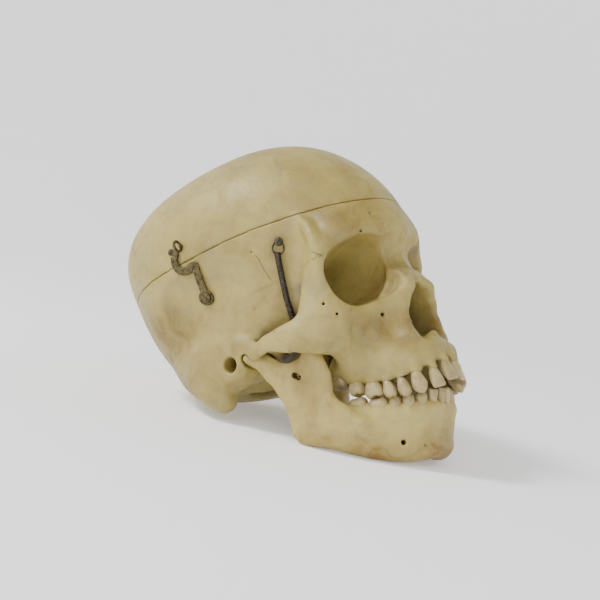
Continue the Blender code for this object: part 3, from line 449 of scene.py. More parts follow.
jaw = {
    "base": [(0, -73.6, -77.4, 6.5), (8, -72.3, -77.8, 6.4), (15, -67.8, -77.1, 6.3), (22, -61.8, -74.8, 6.2),
             (28, -54.5, -71, 6), (34, -47, -66.2, 5.7), (39, -39, -60.9, 5.3), (42, -31.5, -57.6, 5)],
    "middle": [(0, -80.2, -67.5, 4.4), (8, -78.8, -68, 4.4), (14, -75.4, -68, 4.5), (19.3, -70.6, -67, 4.8),
               (24.4, -63.8, -64.5, 5.1), (29, -56.2, -61, 5.4), (33, -48.8, -56.5, 5.7)],
    "crest": [(0, -85, -60.8, 3.4), (7.5, -83.9, -61.2, 3.5), (13.3, -80.6, -61.2, 3.7), (19, -75, -60.8, 4.1),
              (24, -67.6, -59.3, 4.6), (28, -59.4, -57.2, 5), (31.8, -51, -53.6, 5.2)],
    "ramus": [(-12, -12), (-14.5, -17), (-17, -26), (-19.5, -34), (-21.4, -41), (-21.6, -50), (-20.6, -57),
              (-24, -62.2), (-30, -64.6), (-42, -66.4), (-56, -68), (-56, -58), (-52.5, -50), (-51, -42),
              (-53, -32), (-51.5, -20), (-48.5, -11), (-46, -9), (-43, -14), (-38.5, -18.4), (-32, -19.2),
              (-26, -17.2), (-21.5, -13.2), (-18.5, -10)],
    "ramusPlane": (54.4, 0.14, 0.094), "ramusHalf": 3.0,
    "holePlace": (-34.7, -27.6), "holeRadius": 1.5,
}


def jawField(p):
    outerLine = [(47.5, -51.5, -47, 2.2), (43, -53.8, -54, 2.6), (37, -58.8, -62, 2.4), (31, -63.5, -68, 1.6)]
    d = melt(jawBody(p), chain(p, outerLine, 5), 5)
    d = melt(d, jugaOf(p, lowerTeeth, 2.0, 0.62), 3)
    d = carve(d, -toothBeds(p, lowerTeeth), 1.0)
    d = carve(d, -ball(p, (6, -88.6, -72), (9, 3, 4.5)), 5)
    for y, z in ((-36.0, -28.6), (-33.9, -26.8)):
        d = carve(d, -rod(p, (60, y, z, 1.5), (40, y + 0.4, z, 1.5)), 0.8)
    d = carve(d, -rod(p, (25.5, -76, -76.3, 1.3), (21, -68.5, -76, 1.3)), 0.8)
    return carve(d, -rod(p, (14.3, -83, -80.3, 0.6), (13.5, -77, -80, 0.6)), 0.8)


def jawBody(p):
    d = melt(chain(p, jaw["base"], 8), chain(p, jaw["middle"], 6), 6)
    d = melt(d, chain(p, jaw["crest"], 6), 5)
    place, alongY, alongZ = jaw["ramusPlane"]
    plate = np.abs(p[:, 0] - (place + alongY * p[:, 1] + alongZ * p[:, 2])) - jaw["ramusHalf"]
    d = melt(d, carve(outlineDistance(p[:, 1], p[:, 2], jaw["ramus"]), plate, 4.5), 6)
    d = melt(d, rod(p, (50.3, -20.2, -20, 4), (51.5, -16, -12, 4)), 5)
    d = melt(d, ball(p, (51.5, -13.5, -10), (9, 4.2, 4.2), 12), 4)
    return melt(d, ball(p, (0, -75.4, -79.8), (11, 6, 4.8)), 5)


# Surfaces are meshed from grids of distances, which are shaped on one side and mirrored.
cellCorners = [(0, 0, 0), (1, 0, 0), (0, 1, 0), (1, 1, 0), (0, 0, 1), (1, 0, 1), (0, 1, 1), (1, 1, 1)]
cellEdges = [(0, 1), (2, 3), (4, 5), (6, 7), (0, 2), (1, 3), (4, 6), (5, 7), (0, 4), (1, 5), (2, 6), (3, 7)]


def gridAxes(low, high, step):
    counts = [4 * int(math.ceil((b - a) / step / 4)) + 1 for a, b in zip(low, high)]
    return [(a + step * np.arange(n)).astype(np.float32) for a, n in zip(low, counts)]


def refined(values, axis):
    values = np.moveaxis(values, axis, 0)
    out = np.empty((2 * len(values) - 1, *values.shape[1:]), np.float32)
    out[::2] = values
    out[1::2] = (values[:-1] + values[1:]) / 2
    return np.ascontiguousarray(np.moveaxis(out, 0, axis))


def fieldOnGrid(field, axes):
    values = None
    for stride, reach in ((4, 1e9), (2, 3.4), (1, 2.4)):
        parts = [a[::stride] for a in axes]
        step = parts[0][1] - parts[0][0]
        if values is None:
            values = np.zeros([len(a) for a in parts], np.float32)
        else:
            for axis in range(3):
                values = refined(values, axis)
        near = np.nonzero(np.abs(values) < reach * step)
        points = np.stack([a[i] for a, i in zip(parts, near)], 1)
        blocks = np.array_split(points, max(1, len(points) // 60000))
        values[near] = np.concatenate([field(block) for block in blocks])
    return values


def shaped(name, field, low, high, step):
    axes = gridAxes(low, high, step)
    values = fieldOnGrid(field, axes)
    axes[0] = np.concatenate([-axes[0][:0:-1], axes[0]])
    print("skull:", name, "shaped")
    return np.concatenate([values[:0:-1], values]), axes


def netOf(values, axes):
    inside = values < 0
    n = [s - 1 for s in values.shape]
    corners = [inside[i : i + n[0], j : j + n[1], k : k + n[2]] for i, j, k in cellCorners]
    some, every = corners[0].copy(), corners[0].copy()
    for c in corners[1:]:
        some |= c
        every &= c
    cells = np.stack(np.nonzero(some & ~every), 1)
    number = np.full(n, -1, np.int64)
    number[tuple(cells.T)] = np.arange(len(cells))
    cornerValues = np.stack([values[tuple((cells + c).T)] for c in cellCorners], 1)
    total, count = np.zeros((len(cells), 3)), np.zeros((len(cells), 1))
    for a, b in cellEdges:
        va, vb = cornerValues[:, a], cornerValues[:, b]
        cross = (va < 0) != (vb < 0)
        t = np.where(cross, va / np.where(cross, va - vb, 1), 0)[:, None]
        spot = np.array(cellCorners[a]) * (1 - t) + np.array(cellCorners[b]) * t
        total += spot * cross[:, None]
        count += cross[:, None]
    place = cells + total / np.maximum(count, 1)
    step = axes[0][1] - axes[0][0]
    points = place * step + np.array([a[0] for a in axes])
    quads = []
    for axis in range(3):
        u, w = (axis + 1) % 3, (axis + 2) % 3
        here = [slice(1, -1)] * 3
        here[axis] = slice(0, -1)
        there = list(here)
        there[axis] = slice(1, None)
        a, b = inside[tuple(here)], inside[tuple(there)]
        for rising in (True, False):
            hit = np.stack(np.nonzero(a & ~b if rising else ~a & b), 1)
            base = hit + np.array([0 if i == axis else 1 for i in range(3)])
            du, dw = np.eye(3, dtype=int)[u], np.eye(3, dtype=int)[w]
            ring = [base - du - dw, base - dw, base, base - du]
            if not rising:
                ring = ring[::-1]
            quads.append(np.stack([number[tuple(r.T)] for r in ring], 1))
    return points, np.concatenate(quads)


def largestShell(points, faces):
    label = np.arange(len(points))
    ends = np.concatenate([faces[:, [0, 1]], faces[:, [1, 2]], faces[:, [2, 3]]])
    while True:
        low = np.minimum(label[ends[:, 0]], label[ends[:, 1]])
        before = label.copy()
        np.minimum.at(label, ends[:, 0], low)
        np.minimum.at(label, ends[:, 1], low)
        label = label[label]
        if (before == label).all():
            break
    names, sizes = np.unique(label, return_counts=True)
    keep = label == names[np.argmax(sizes)]
    index = np.cumsum(keep) - 1
    return points[keep], index[faces[keep[faces[:, 0]]]]


def sample(values, axes, points):
    step = axes[0][1] - axes[0][0]
    q = (points - np.array([a[0] for a in axes])) / step
    q = np.clip(q, 0, np.array(values.shape) - 1.001)
    i = q.astype(int)
    f = q - i
    total = np.zeros(len(points))
    for c in cellCorners:
        weight = np.prod(np.where(np.array(c), f, 1 - f), 1)
        total += weight * values[tuple((i + np.array(c)).T)]
    return total


def slopeOf(values, axes, points, reach=0.7):
    slope = [sample(values, axes, points + o) - sample(values, axes, points - o) for o in np.eye(3) * reach]
    slope = np.stack(slope, 1)
    return slope / np.maximum(np.linalg.norm(slope, axis=1, keepdims=True), 1e-6)


def folded(p):
    return np.abs(p) * vec(1, 0, 0) + p * vec(0, 1, 1)


def blots(q, rows):
    total = 0
    for centre, reach, strength in rows:
        near = (q - vec(*centre)) / np.asarray(reach, np.float32)
        total = total + strength * np.exp(-(near * near).sum(1))
    return total


# Painted shade in the bone's recesses, sampled at these depths; the painted shade is lessened at the light
# spots and a painted shadow is added under the cheek arch at the dark spot: centre, reach, strength.
paintedShadeSettings = {
    "depths": (2.5, 6.0, 12.0),
    # Less painted shade on the inner eye socket wall, in the nose opening and near the ear.
    "light": [((9, -66, 14), (7, 13, 9), 0.9), ((9, -82, -8), (7, 8, 11), 0.6),
              ((54, -1, -10), (9, 6, 6), 0.45)],
    # Painted shadow under the cheek arch.
    "paintedShadow": [((36, -25, -13), (11, 13, 8), 1.1)],
}


# Painted shade: the more the bone closes in around a point, the higher its share of the dark painted-shade
# tone.
def paintedShadeOf(values, axes, points):
    out = slopeOf(values, axes, points)
    paintedOcclusion = np.zeros(len(points))
    for reach in paintedShadeSettings["depths"]:
        paintedOcclusion += np.clip(1 - sample(values, axes, points + out * reach) / reach, 0, 2) / len(paintedShadeSettings["depths"])
    q = folded(points)
    return np.clip(paintedOcclusion * (1 - blots(q, paintedShadeSettings["light"])) + blots(q, paintedShadeSettings["paintedShadow"]), 0, 1)


def makeMesh(name, points, faces, local=True):
    mesh = bpy.data.meshes.new(name)
    spots = worldOf(points) if local else np.asarray(points)
    mesh.from_pydata(spots.tolist(), [], faces if isinstance(faces, list) else faces.tolist())
    mesh.shade_smooth()
    thing = bpy.data.objects.new(name, mesh)
    bpy.context.scene.collection.objects.link(thing)
    return thing


def setAttribute(thing, name, numbers):
    made = thing.data.attributes.new(name, "FLOAT", "POINT")
    made.data.foreach_set("value", np.asarray(numbers, np.float32))


grids = {
    "braincase": ((0, -110, -50), (76, 96, 118), 0.8),
    "face": ((0, -106, -44), (66, 4, 46), 0.65),
    "jaw": ((0, -94, -94), (62, -4, 0), 0.65),
}
fullGrid = shaped("braincase", craniumField, *grids["braincase"])
faceGrid = shaped("face", craniumField, *grids["face"])
jawGrid = shaped("jaw", jawField, *grids["jaw"])


def sawCut(x, y, z):
    return seam["sawHeight"] + seam["sawSlope"] * y - z


def plane(x, y, z, point, normal):
    n = np.array(normal, np.float32) / np.linalg.norm(normal)
    return (x - point[0]) * n[0] + (y - point[1]) * n[1] + (z - point[2]) * n[2]


def cheekSeams(x, y, z, side):
    x = x * side
    brow = plane(x, y, z, (46, -64, 27.5), (0.1, 0.1, 1))
    brow = brow + 0.7 * np.sin(x * 2.1 + y) + 0.4 * np.sin(x * 4.3 - 1)
    arch = plane(x, y, z, (59, -39, -9), (0, 0.85, -0.5))
    arch = arch + 0.9 * np.sin(z * 0.9) + 0.5 * np.sin(z * 2.7 + 1)
    jawSide = plane(x, y, z, (39, -68, -14), (-0.78, -0.45, -0.2))
    jawSide = jawSide + 0.8 * np.sin(z * 0.8) + 0.4 * np.sin(z * 2.2)
    deep = plane(x, y, z, (43.5, -58, 10), (-0.912, 0.41, 0)) + 0 * x
    return np.maximum(np.maximum(brow, arch), np.maximum(jawSide, deep))


def nasalSeams(x, y, z):
    top = plane(x, y, z, (0, -88, 30), (0, 0.1, 1)) + 0.5 * np.sin(x * 2.2)
    sides = plane(np.abs(x), y, z, (7, -88, 20), (1, 0.2, 0.18)) + 0.3 * np.sin(z * 1.3)
    back = plane(x, y, z, (0, -82.5, 25), (0, 1, 0.3))
    low = 3.5 - z
    return np.maximum(np.maximum(top, sides), np.maximum(back, low))


def faceSeams(x, y, z):
    top = plane(x, y, z, (0, -86, 29.5), (0, 0.62, 0.78)) + 0.5 * np.sin(x * 1.7) + 0.3 * np.sin(x * 4)
    return np.maximum(top, y + 42.2 + 0 * z)


def seamGap(x, y, z):
    inSocket = ((np.abs(x) - 25) / 19) ** 2 + ((y + 58) / 24) ** 2 + ((z - 16) / 16) ** 2
    return np.where(inSocket < 1, seam["socketGap"], seam["gap"]).astype(np.float32)


pieces, nodesOf = [], {}


def bonePiece(name, grid, region, *nodes):
    values, axes = grid
    points, faces = largestShell(*netOf(np.maximum(values, region.astype(np.float32)), axes))
    thing = makeMesh(name, points, faces)
    # Each bone piece carries its painted shade for recesses as a point attribute.
    setAttribute(thing, "paintedShade", paintedShadeOf(values, axes, points))
    pieces.append(thing)
    nodesOf[name] = nodes
    print("skull:", name, len(faces) * 2, "triangles")


x, y, z = np.ix_(*fullGrid[1])
cut = sawCut(x, y, z)
bonePiece("sawnSkullcap", fullGrid, cut + seam["saw"] + 0 * x, "skullcap")
others = np.minimum(cheekSeams(x, y, z, 1), cheekSeams(x, y, z, -1))
others = np.minimum(others, np.minimum(nasalSeams(x, y, z), faceSeams(x, y, z)))
below = np.maximum(seam["saw"] - cut, seamGap(x, y, z) - others)
bonePiece("braincaseBone", fullGrid, below, "braincase", "forehead")
x, y, z = np.ix_(*faceGrid[1])
gap = seamGap(x, y, z)
left, right, nasal = cheekSeams(x, y, z, 1), cheekSeams(x, y, z, -1), nasalSeams(x, y, z)
bonePiece("cheekBoneLeft", faceGrid, left + gap, "cheek_left")
bonePiece("cheekBoneRight", faceGrid, right + gap, "cheek_right")
bonePiece("nasalBones", faceGrid, nasal + gap, "nasal_bones")
rest = np.minimum(np.minimum(left, right), nasal)
bonePiece("upperJawBone", faceGrid, np.maximum(faceSeams(x, y, z) + gap, gap - rest), "upper_jaw")
x, y, z = np.ix_(*jawGrid[1])
hole = np.sqrt((y - jaw["holePlace"][0]) ** 2 + (z - jaw["holePlace"][1]) ** 2)
bonePiece("jawBone", jawGrid, jaw["holeRadius"] - hole + 0 * x, "jaw")
toothRow("upperTeethRow", upperTeeth, 11)
toothRow("lowerTeethRow", lowerTeeth, 23)

# Hooks, eyes, pins and springs on the two sides. Pairs of numbers are a place in side view.
hook = {"ring": (1.3, 30.0), "ringRadius": 4.2, "rimInset": 0.55, "rimHalf": 0.45, "rimRise": 0.3,
        "arm": [(1.3, 30.2), (0.7, 44.5), (0.4, 48.3), (2.4, 48.6), (5.4, 47.6), (8.6, 48.0), (11.2, 50.2),
                (12.0, 54.0), (11.2, 57.5)],
        "lobe": (12.0, 60.6), "lobeRadius": 2.0, "nib": (9.2, 58.4), "nibRadius": 1.5, "lift": 1.6,
        "halfWidth": 2.15, "halfThickness": 0.62, "hole": 1.643}
screw = {"radius": 2.65, "rise": 1.15, "dome": 0.09, "shank": 1.378, "slotTurn": 35, "slotHalf": 0.4,
         "slotFloor": 0.4}
eyeScrew = {"place": (5.2, 61.6), "ringRadius": 2.9, "wire": 0.85, "rise": 1.0, "stem": 1.0625}
pin = {"place": (-47.3, 44.9), "headRadius": 2.6, "shankRadius": 1.1, "stand": 2.6, "rise": 1.6, "dome": 0.17,
       "loopRadius": 3.1, "loopWire": 0.42, "loopStand": 1.3, "loopTop": 0.1, "loopBelow": 1.7}
spring = {"coilRadius": 1.45, "wire": 0.33, "pitch": 0.68,
          "route": [(52.4, -45.5, 39.1), (52.2, -44.9, 35.9), (52.3, -44.2, 25.9), (51.8, -43.3, 13.8),
                    (50.3, -42.5, 7.5), (47.8, -40.9, 2.6), (45.6, -39.6, -1.0)],
          "tail": [(44.4, -39.0, -4.4), (43.2, -37.6, -9.0), (42.2, -36.0, -14.0), (41.6, -34.8, -19.0),
                   (42.0, -34.4, -24.0), (43.4, -34.6, -27.2), (47.5, -34.7, -27.9)]}


def sideOf(y, z):
    xs = np.arange(76, 30, -0.2)
    spots = np.stack([xs, np.full(len(xs), y), np.full(len(xs), z)], 1)
    place = spots[np.nonzero(sample(*fullGrid, spots) < 0)[0][0]]
    return place, slopeOf(*fullGrid, place[None], 1.5)[0]


def smoothRoute(stations, steps):
    p = np.array(stations, float)
    p = np.concatenate([2 * p[:1] - p[1:2], p, 2 * p[-1:] - p[-2:-1]])
    out = []
    for a, b, c, d in zip(p, p[1:], p[2:], p[3:]):
        for t in np.arange(steps) / steps:
            bend = (2 * a - 5 * b + 4 * c - d) * t**2 + (3 * b - a - 3 * c + d) * t**3
            out.append(0.5 * (2 * b + (c - a) * t + bend))
    return np.array(out + [p[-2]])


def ribbon(route, half):
    p = np.array(route, float)
    d = np.diff(p, axis=0)
    d /= np.linalg.norm(d, axis=1, keepdims=True)
    n = np.stack([-d[:, 1], d[:, 0]], 1)
    m = np.concatenate([n[:1], n[:-1] + n[1:], n[-1:]])
    m /= np.linalg.norm(m, axis=1, keepdims=True)
    stretch = np.concatenate([[1], 1 / np.maximum((m[1:-1] * n[:-1]).sum(1), 0.45), [1]])
    offset = m * stretch[:, None] * half
    return [tuple(c) for c in np.concatenate([p + offset, (p - offset)[::-1]])]


fittings = []


def fitting(name, node, field, low, high, step):
    axes = gridAxes(low, high, step)
    values = field(*np.meshgrid(*axes, indexing="ij")).astype(np.float32)
    points, faces = largestShell(*netOf(values, axes))
    for side, word in ((1, "left"), (-1, "right")):
        thing = makeMesh(name + word.capitalize(), points * [side, 1, 1], faces[:, ::side])
        fittings.append(thing)
        nodesOf[thing.name] = (node + "_" + word,)
    print("skull:", name, len(faces) * 2, "triangles")


def surfaceTerms(a, b):
    return np.stack([a * 0 + 1, a, b, a * a, a * b, b * b], -1)


def disc(y, z, centre, radius):
    return np.sqrt((y - centre[0]) ** 2 + (z - centre[1]) ** 2) - radius


def armField(x, y, z):
    ys, zs = (a.ravel() for a in np.meshgrid(np.arange(-4, 19, 2.0), np.arange(26, 66, 3.0), indexing="ij"))
    side = np.array([sideOf(a, b)[0][0] for a, b in zip(ys, zs)])
    fit = np.linalg.lstsq(surfaceTerms(ys, zs), side, rcond=None)[0]
    away = x - (surfaceTerms(y, z) @ fit + hook["lift"])
    ring, radius, half = hook["ring"], hook["ringRadius"], hook["halfThickness"]
    shape = outlineDistance(y, z, ribbon([hook["arm"][0], *smoothRoute(hook["arm"][1:], 3)], hook["halfWidth"]))
    shape = np.minimum(shape, disc(y, z, ring, radius))
    shape = melt(shape, disc(y, z, hook["lobe"], hook["lobeRadius"]), 0.8)
    a, along = hook["lobe"], np.array(hook["nib"]) - hook["lobe"]
    t = np.clip(((y - a[0]) * along[0] + (z - a[1]) * along[1]) / (along @ along), 0, 1)
    shape = np.minimum(shape, disc(y - t * along[0], z - t * along[1], a, hook["nibRadius"]))
    shape = np.maximum(shape, -disc(y, z, ring, hook["hole"]))
    rim = np.abs(disc(y, z, ring, radius - hook["rimInset"])) - hook["rimHalf"]
    raised = np.maximum(rim, np.abs(away - hook["rimRise"]) - half)
    return np.minimum(carve(shape, np.abs(away) - half, 0.35), raised)


# Height over the bone, two ways along it and the distance from the middle.
def aroundPlace(x, y, z, place):
    centre, out = sideOf(*place)
    up = np.array([0, 0, 1]) - out * out[2]
    up /= np.linalg.norm(up)
    q = np.stack([x - centre[0], y - centre[1], z - centre[2]], -1)
    u, w = q @ np.cross(out, up), q @ up
    return q @ out, u, w, np.sqrt(u * u + w * w)


def screwField(x, y, z):
    n, u, w, r = aroundPlace(x, y, z, hook["ring"])
    n = n - hook["lift"] - hook["halfThickness"]
    head = carve(r - screw["radius"], np.maximum(n - screw["rise"] + screw["dome"] * r * r, -n), 0.3)
    a = math.radians(screw["slotTurn"])
    slot = np.abs(u * math.cos(a) + w * math.sin(a)) - screw["slotHalf"]
    head = np.maximum(head, -np.maximum(slot, screw["slotFloor"] - n))
    return np.minimum(head, np.maximum(r - screw["shank"], np.abs(n + 1.5) - 2))


def eyeField(x, y, z):
    n, u, w, r = aroundPlace(x, y, z, eyeScrew["place"])
    middle = eyeScrew["rise"] + eyeScrew["ringRadius"]
    ring = np.sqrt((n - middle) ** 2 + w * w) - eyeScrew["ringRadius"]
    ring = np.sqrt(ring**2 + u * u) - eyeScrew["wire"]
    return melt(ring, np.maximum(r - eyeScrew["stem"], np.abs(n - 0.3) - 1.3), 0.5)


def pinField(x, y, z):
    n, u, w, r = aroundPlace(x, y, z, pin["place"])
    n = n - pin["stand"]
    head = carve(r - pin["headRadius"], np.maximum(n - pin["rise"] + pin["dome"] * r * r, -n), 0.6)
    return np.minimum(head, np.maximum(r - pin["shankRadius"], np.abs(n + 1.3) - 1.8))


fitting("brassHook", "hook", armField, (58, -3, 24), (74, 18, 65), 0.25)
for name, node, field, place, reach, step in (
        ("slottedScrew", "hook_screw", screwField, hook["ring"], 5, 0.2),
        ("screwEye", "hook_eye", eyeField, eyeScrew["place"], 8, 0.22),
        ("springPin", "spring_pin", pinField, pin["place"], 6, 0.22)):
    centre = sideOf(*place)[0]
    fitting(name, node, field, centre - reach, centre + reach, step)


# Node groups for shapes and finishes.
def newGroup(kind, name, inputs, outputs):
    tree = bpy.data.node_groups.new(name, kind)
    for label, socket, value in inputs:
        made = tree.interface.new_socket(label, in_out="INPUT", socket_type="NodeSocket" + socket)
        if value is not None:
            made.default_value = value
    for label, socket in outputs:
        tree.interface.new_socket(label, in_out="OUTPUT", socket_type="NodeSocket" + socket)
    return tree, tree.nodes.new("NodeGroupInput").outputs, tree.nodes.new("NodeGroupOutput").inputs


def addNode(tree, kind, inputs=(), **settings):
    node = tree.nodes.new(kind)
    for label, value in settings.items():
        setattr(node, label, value)
    for label, value in dict(inputs).items():
        if hasattr(value, "is_output"):
            tree.links.new(value, node.inputs[label])
        else:
            node.inputs[label].default_value = value
    return node


def maths(tree, kind, a, b=0.0):
    return addNode(tree, "ShaderNodeMath", {0: a, 1: b}, operation=kind).outputs[0]


def vectors(tree, kind, inputs):
    return addNode(tree, "ShaderNodeVectorMath", inputs, operation=kind).outputs[0]


def shapeGroup(name, inputs):
    inputs = [("Route", "Geometry", None), *inputs, ("Finish", "Material", None)]
    return newGroup("GeometryNodeTree", name, inputs, [("Mesh", "Geometry")])


def endGroup(tree, given, end, curve, sides):
    profile = {"Resolution": sides, "Radius": given["Wire"]}
    circle = addNode(tree, "GeometryNodeCurvePrimitiveCircle", profile).outputs[0]
    inputs = {"Curve": curve, "Profile Curve": circle, "Fill Caps": True}
    tube = addNode(tree, "GeometryNodeCurveToMesh", inputs)
    if "Scale" in tube.inputs:
        tree.links.new(addNode(tree, "GeometryNodeInputRadius").outputs[0], tube.inputs["Scale"])
    made = tube.outputs[0]
    for kind in ("GeometryNodeSetShadeSmooth", "GeometryNodeRealizeInstances"):
        made = addNode(tree, kind, {"Geometry": made}).outputs[0]
    finish = addNode(tree, "GeometryNodeSetMaterial", {"Geometry": made, "Material": given["Finish"]})
    tree.links.new(finish.outputs[0], end["Mesh"])


def wireShape():
    tree, given, end = shapeGroup("wireAlongRoute", [("Wire", "Float", 0.0003)])
    curve = addNode(tree, "GeometryNodeMeshToCurve", {"Mesh": given["Route"]}).outputs[0]
    thick = addNode(tree, "GeometryNodeInputNamedAttribute", {"Name": "thick"}, data_type="FLOAT")
    inputs = {"Curve": curve, "Radius": thick.outputs["Attribute"]}
    endGroup(tree, given, end, addNode(tree, "GeometryNodeSetCurveRadius", inputs).outputs[0], 8)
    return tree


def coilShape():
    tree, given, end = shapeGroup("coilAlongRoute", [
        ("Wire", "Float", 0.0003), ("Coil", "Float", 0.0015), ("Turns", "Int", 60), ("Steps", "Int", 14)])
    curve = addNode(tree, "GeometryNodeMeshToCurve", {"Mesh": given["Route"]}).outputs[0]
    inputs = {"Curve": curve, "Count": maths(tree, "MULTIPLY", given["Turns"], given["Steps"])}
    curve = addNode(tree, "GeometryNodeResampleCurve", inputs).outputs[0]
    angle = maths(tree, "MULTIPLY", addNode(tree, "GeometryNodeInputIndex").outputs[0], 2 * math.pi)
    angle = maths(tree, "DIVIDE", angle, given["Steps"])
    tangent = addNode(tree, "GeometryNodeInputTangent").outputs[0]
    normal = addNode(tree, "GeometryNodeInputNormal").outputs[0]
    steps = []
    for kind, way in (("COSINE", normal), ("SINE", vectors(tree, "CROSS_PRODUCT", {0: tangent, 1: normal}))):
        reach = maths(tree, "MULTIPLY", maths(tree, kind, angle), given["Coil"])
        steps.append(vectors(tree, "SCALE", {0: way, "Scale": reach}))
    curve = addNode(tree, "GeometryNodeSetCurveRadius", {"Curve": curve, "Radius": 1.0}).outputs[0]
    inputs = {"Geometry": curve, "Offset": vectors(tree, "ADD", {0: steps[0], 1: steps[1]})}
    endGroup(tree, given, end, addNode(tree, "GeometryNodeSetPosition", inputs).outputs[0], 6)
    return tree


def grow(name, routes, group, values, thinEnds=False):
    edges, thick = [], []
    for r in routes:
        edges += [(len(thick) + i, len(thick) + i + 1) for i in range(len(r) - 1)]
        fromEnd = np.minimum(np.arange(len(r)), np.arange(len(r))[::-1])
        thick += [*np.minimum(1, 0.25 + fromEnd * 0.25)] if thinEnds else [1.0] * len(r)
    mesh = bpy.data.meshes.new(name)
    mesh.from_pydata(worldOf(np.concatenate(routes)).tolist(), edges, [])
    thing = bpy.data.objects.new(name, mesh)
    bpy.context.scene.collection.objects.link(thing)
    setAttribute(thing, "thick", thick)
    modifier = thing.modifiers.new("grow", "NODES")
    modifier.node_group = group
    for item in group.interface.items_tree:
        if item.in_out == "INPUT" and item.name in values:
            modifier[item.identifier] = values[item.name]
    made = bpy.data.meshes.new_from_object(thing.evaluated_get(bpy.context.evaluated_depsgraph_get()))
    thing.modifiers.remove(modifier)
    thing.data = made
    made.name = name
    print("skull:", name, len(made.polygons), "faces")
    return thing


def noise(tree, place, scale, detail, rough=0.55, bend=0.0):
    inputs = {"Vector": place, "Scale": scale, "Detail": detail, "Roughness": rough, "Distortion": bend}
    return addNode(tree, "ShaderNodeTexNoise", inputs).outputs[0]


def between(tree, value, low, high, first=0.0, last=1.0):
    inputs = {"Value": value, "From Min": low, "From Max": high, "To Min": first, "To Max": last}
    return addNode(tree, "ShaderNodeMapRange", inputs, interpolation_type="SMOOTHSTEP").outputs[0]


def blend(tree, share, a, b):
    a, b = ((*c, 1) if isinstance(c, tuple) else c for c in (a, b))
    return addNode(tree, "ShaderNodeMix", {0: share, 6: a, 7: b}, data_type="RGBA").outputs[2]


def attribute(tree, name):
    return addNode(tree, "ShaderNodeAttribute", attribute_name=name).outputs["Fac"]


def placeOn(tree):
    return addNode(tree, "ShaderNodeTexCoord").outputs["Object"]


def boneToneGroup():
    tree, given, end = newGroup("ShaderNodeTree", "boneTone", [
        ("Place", "Vector", (0, 0, 0)), ("Stain", "Float", 0), ("Hollow", "Float", 0),
        ("Clean", "Color", (0.6, 0.5, 0.3, 1)), ("Ochre", "Color", (0.4, 0.25, 0.08, 1)),
        ("Deep", "Color", (0.06, 0.03, 0.01, 1))],
        [("Color", "Color"), ("Rough", "Float"), ("Height", "Float")])
    place = given["Place"]
    broad = noise(tree, place, 22, 4, 0.6, 0.4)
    patch = noise(tree, place, 75, 5, 0.65, 0.8)
    fine = noise(tree, place, 420, 5, 0.6)
    speck = noise(tree, place, 900, 3, 0.5)
    grey = noise(tree, place, 48, 4, 0.6, 1.0)
    share = between(tree, broad, 0.38, 0.7, 0.0, 0.5)
    share = maths(tree, "ADD", share, between(tree, patch, 0.42, 0.75, 0.0, 0.3))
    stain = maths(tree, "MULTIPLY", given["Stain"], between(tree, patch, 0.25, 0.7, 0.55, 1.1))
    share = maths(tree, "MAXIMUM", maths(tree, "ADD", share, stain), 0.0)
    colour = blend(tree, maths(tree, "MINIMUM", share, 1.0), given["Clean"], given["Ochre"])
    # Mottling, specks and, last, painted shade in recesses, each blended over the colour.
    for spots, low, high, most, tone in ((grey, 0.5, 0.74, 0.4, (0.20, 0.185, 0.105)),
                                         (fine, 0.56, 0.8, 0.35, (0.21, 0.15, 0.06)),
                                         (speck, 0.69, 0.78, 0.55, (0.10, 0.07, 0.03)),
                                         (given["Hollow"], 0.5, 1.0, 0.85, given["Deep"])):
        colour = blend(tree, between(tree, spots, low, high, 0.0, most), colour, tone)
    tree.links.new(colour, end["Color"])
    tree.links.new(between(tree, patch, 0.3, 0.75, 0.42, 0.6), end["Rough"])
    height = maths(tree, "ADD", maths(tree, "MULTIPLY", fine, 0.5), maths(tree, "MULTIPLY", speck, 0.22))
    tree.links.new(maths(tree, "ADD", height, maths(tree, "MULTIPLY", patch, 0.8)), end["Height"])
    return tree


def newMaterial(name, colour, roughness, metallic=0.0):
    made = bpy.data.materials.new(name)
    made.use_nodes = True
    inputs = made.node_tree.nodes["Principled BSDF"].inputs
    inputs["Base Color"].default_value = (*colour, 1)
    inputs["Roughness"].default_value = roughness
    inputs["Metallic"].default_value = metallic
    return made, made.node_tree, inputs


def dress(tree, inputs, colour, rough, height, distance, strength):
    bump = addNode(tree, "ShaderNodeBump", {"Height": height, "Distance": distance, "Strength": strength})
    for label, value in (("Base Color", colour), ("Roughness", rough), ("Normal", bump.outputs["Normal"])):
        tree.links.new(value, inputs[label])


boneTone = boneToneGroup()


def boneMaterial(name, **tones):
    made, tree, inputs = newMaterial(name, tones["Clean"], 0.5)
    given = {label: (*tone, 1) for label, tone in tones.items()}
    given.update(Place=placeOn(tree), Stain=attribute(tree, "stain"), Hollow=attribute(tree, "paintedShade"))
    tone = addNode(tree, "ShaderNodeGroup", given, node_tree=boneTone).outputs
    dress(tree, inputs, tone["Color"], tone["Rough"], tone["Height"], 0.0006, 0.8)
    return made


def toothMaterial():
    made, tree, inputs = newMaterial("enamelAndRoot", (0.7, 0.6, 0.4), 0.3)
    glaze, age = attribute(tree, "glaze"), attribute(tree, "age")
    patch = noise(tree, placeOn(tree), 260, 4, 0.6, 0.5)
    enamel = blend(tree, between(tree, patch, 0.4, 0.75, 0.0, 0.7), (0.50, 0.405, 0.185), (0.30, 0.20, 0.062))
    enamel = blend(tree, maths(tree, "MULTIPLY", age, 0.75), enamel, (0.11, 0.062, 0.022))
    root = blend(tree, between(tree, patch, 0.35, 0.7), (0.28, 0.19, 0.062), (0.12, 0.07, 0.022))
    rough = between(tree, glaze, 0, 1, 0.6, 0.3)
    dress(tree, inputs, blend(tree, glaze, root, enamel), rough, patch, 0.0002, 0.5)
    return made


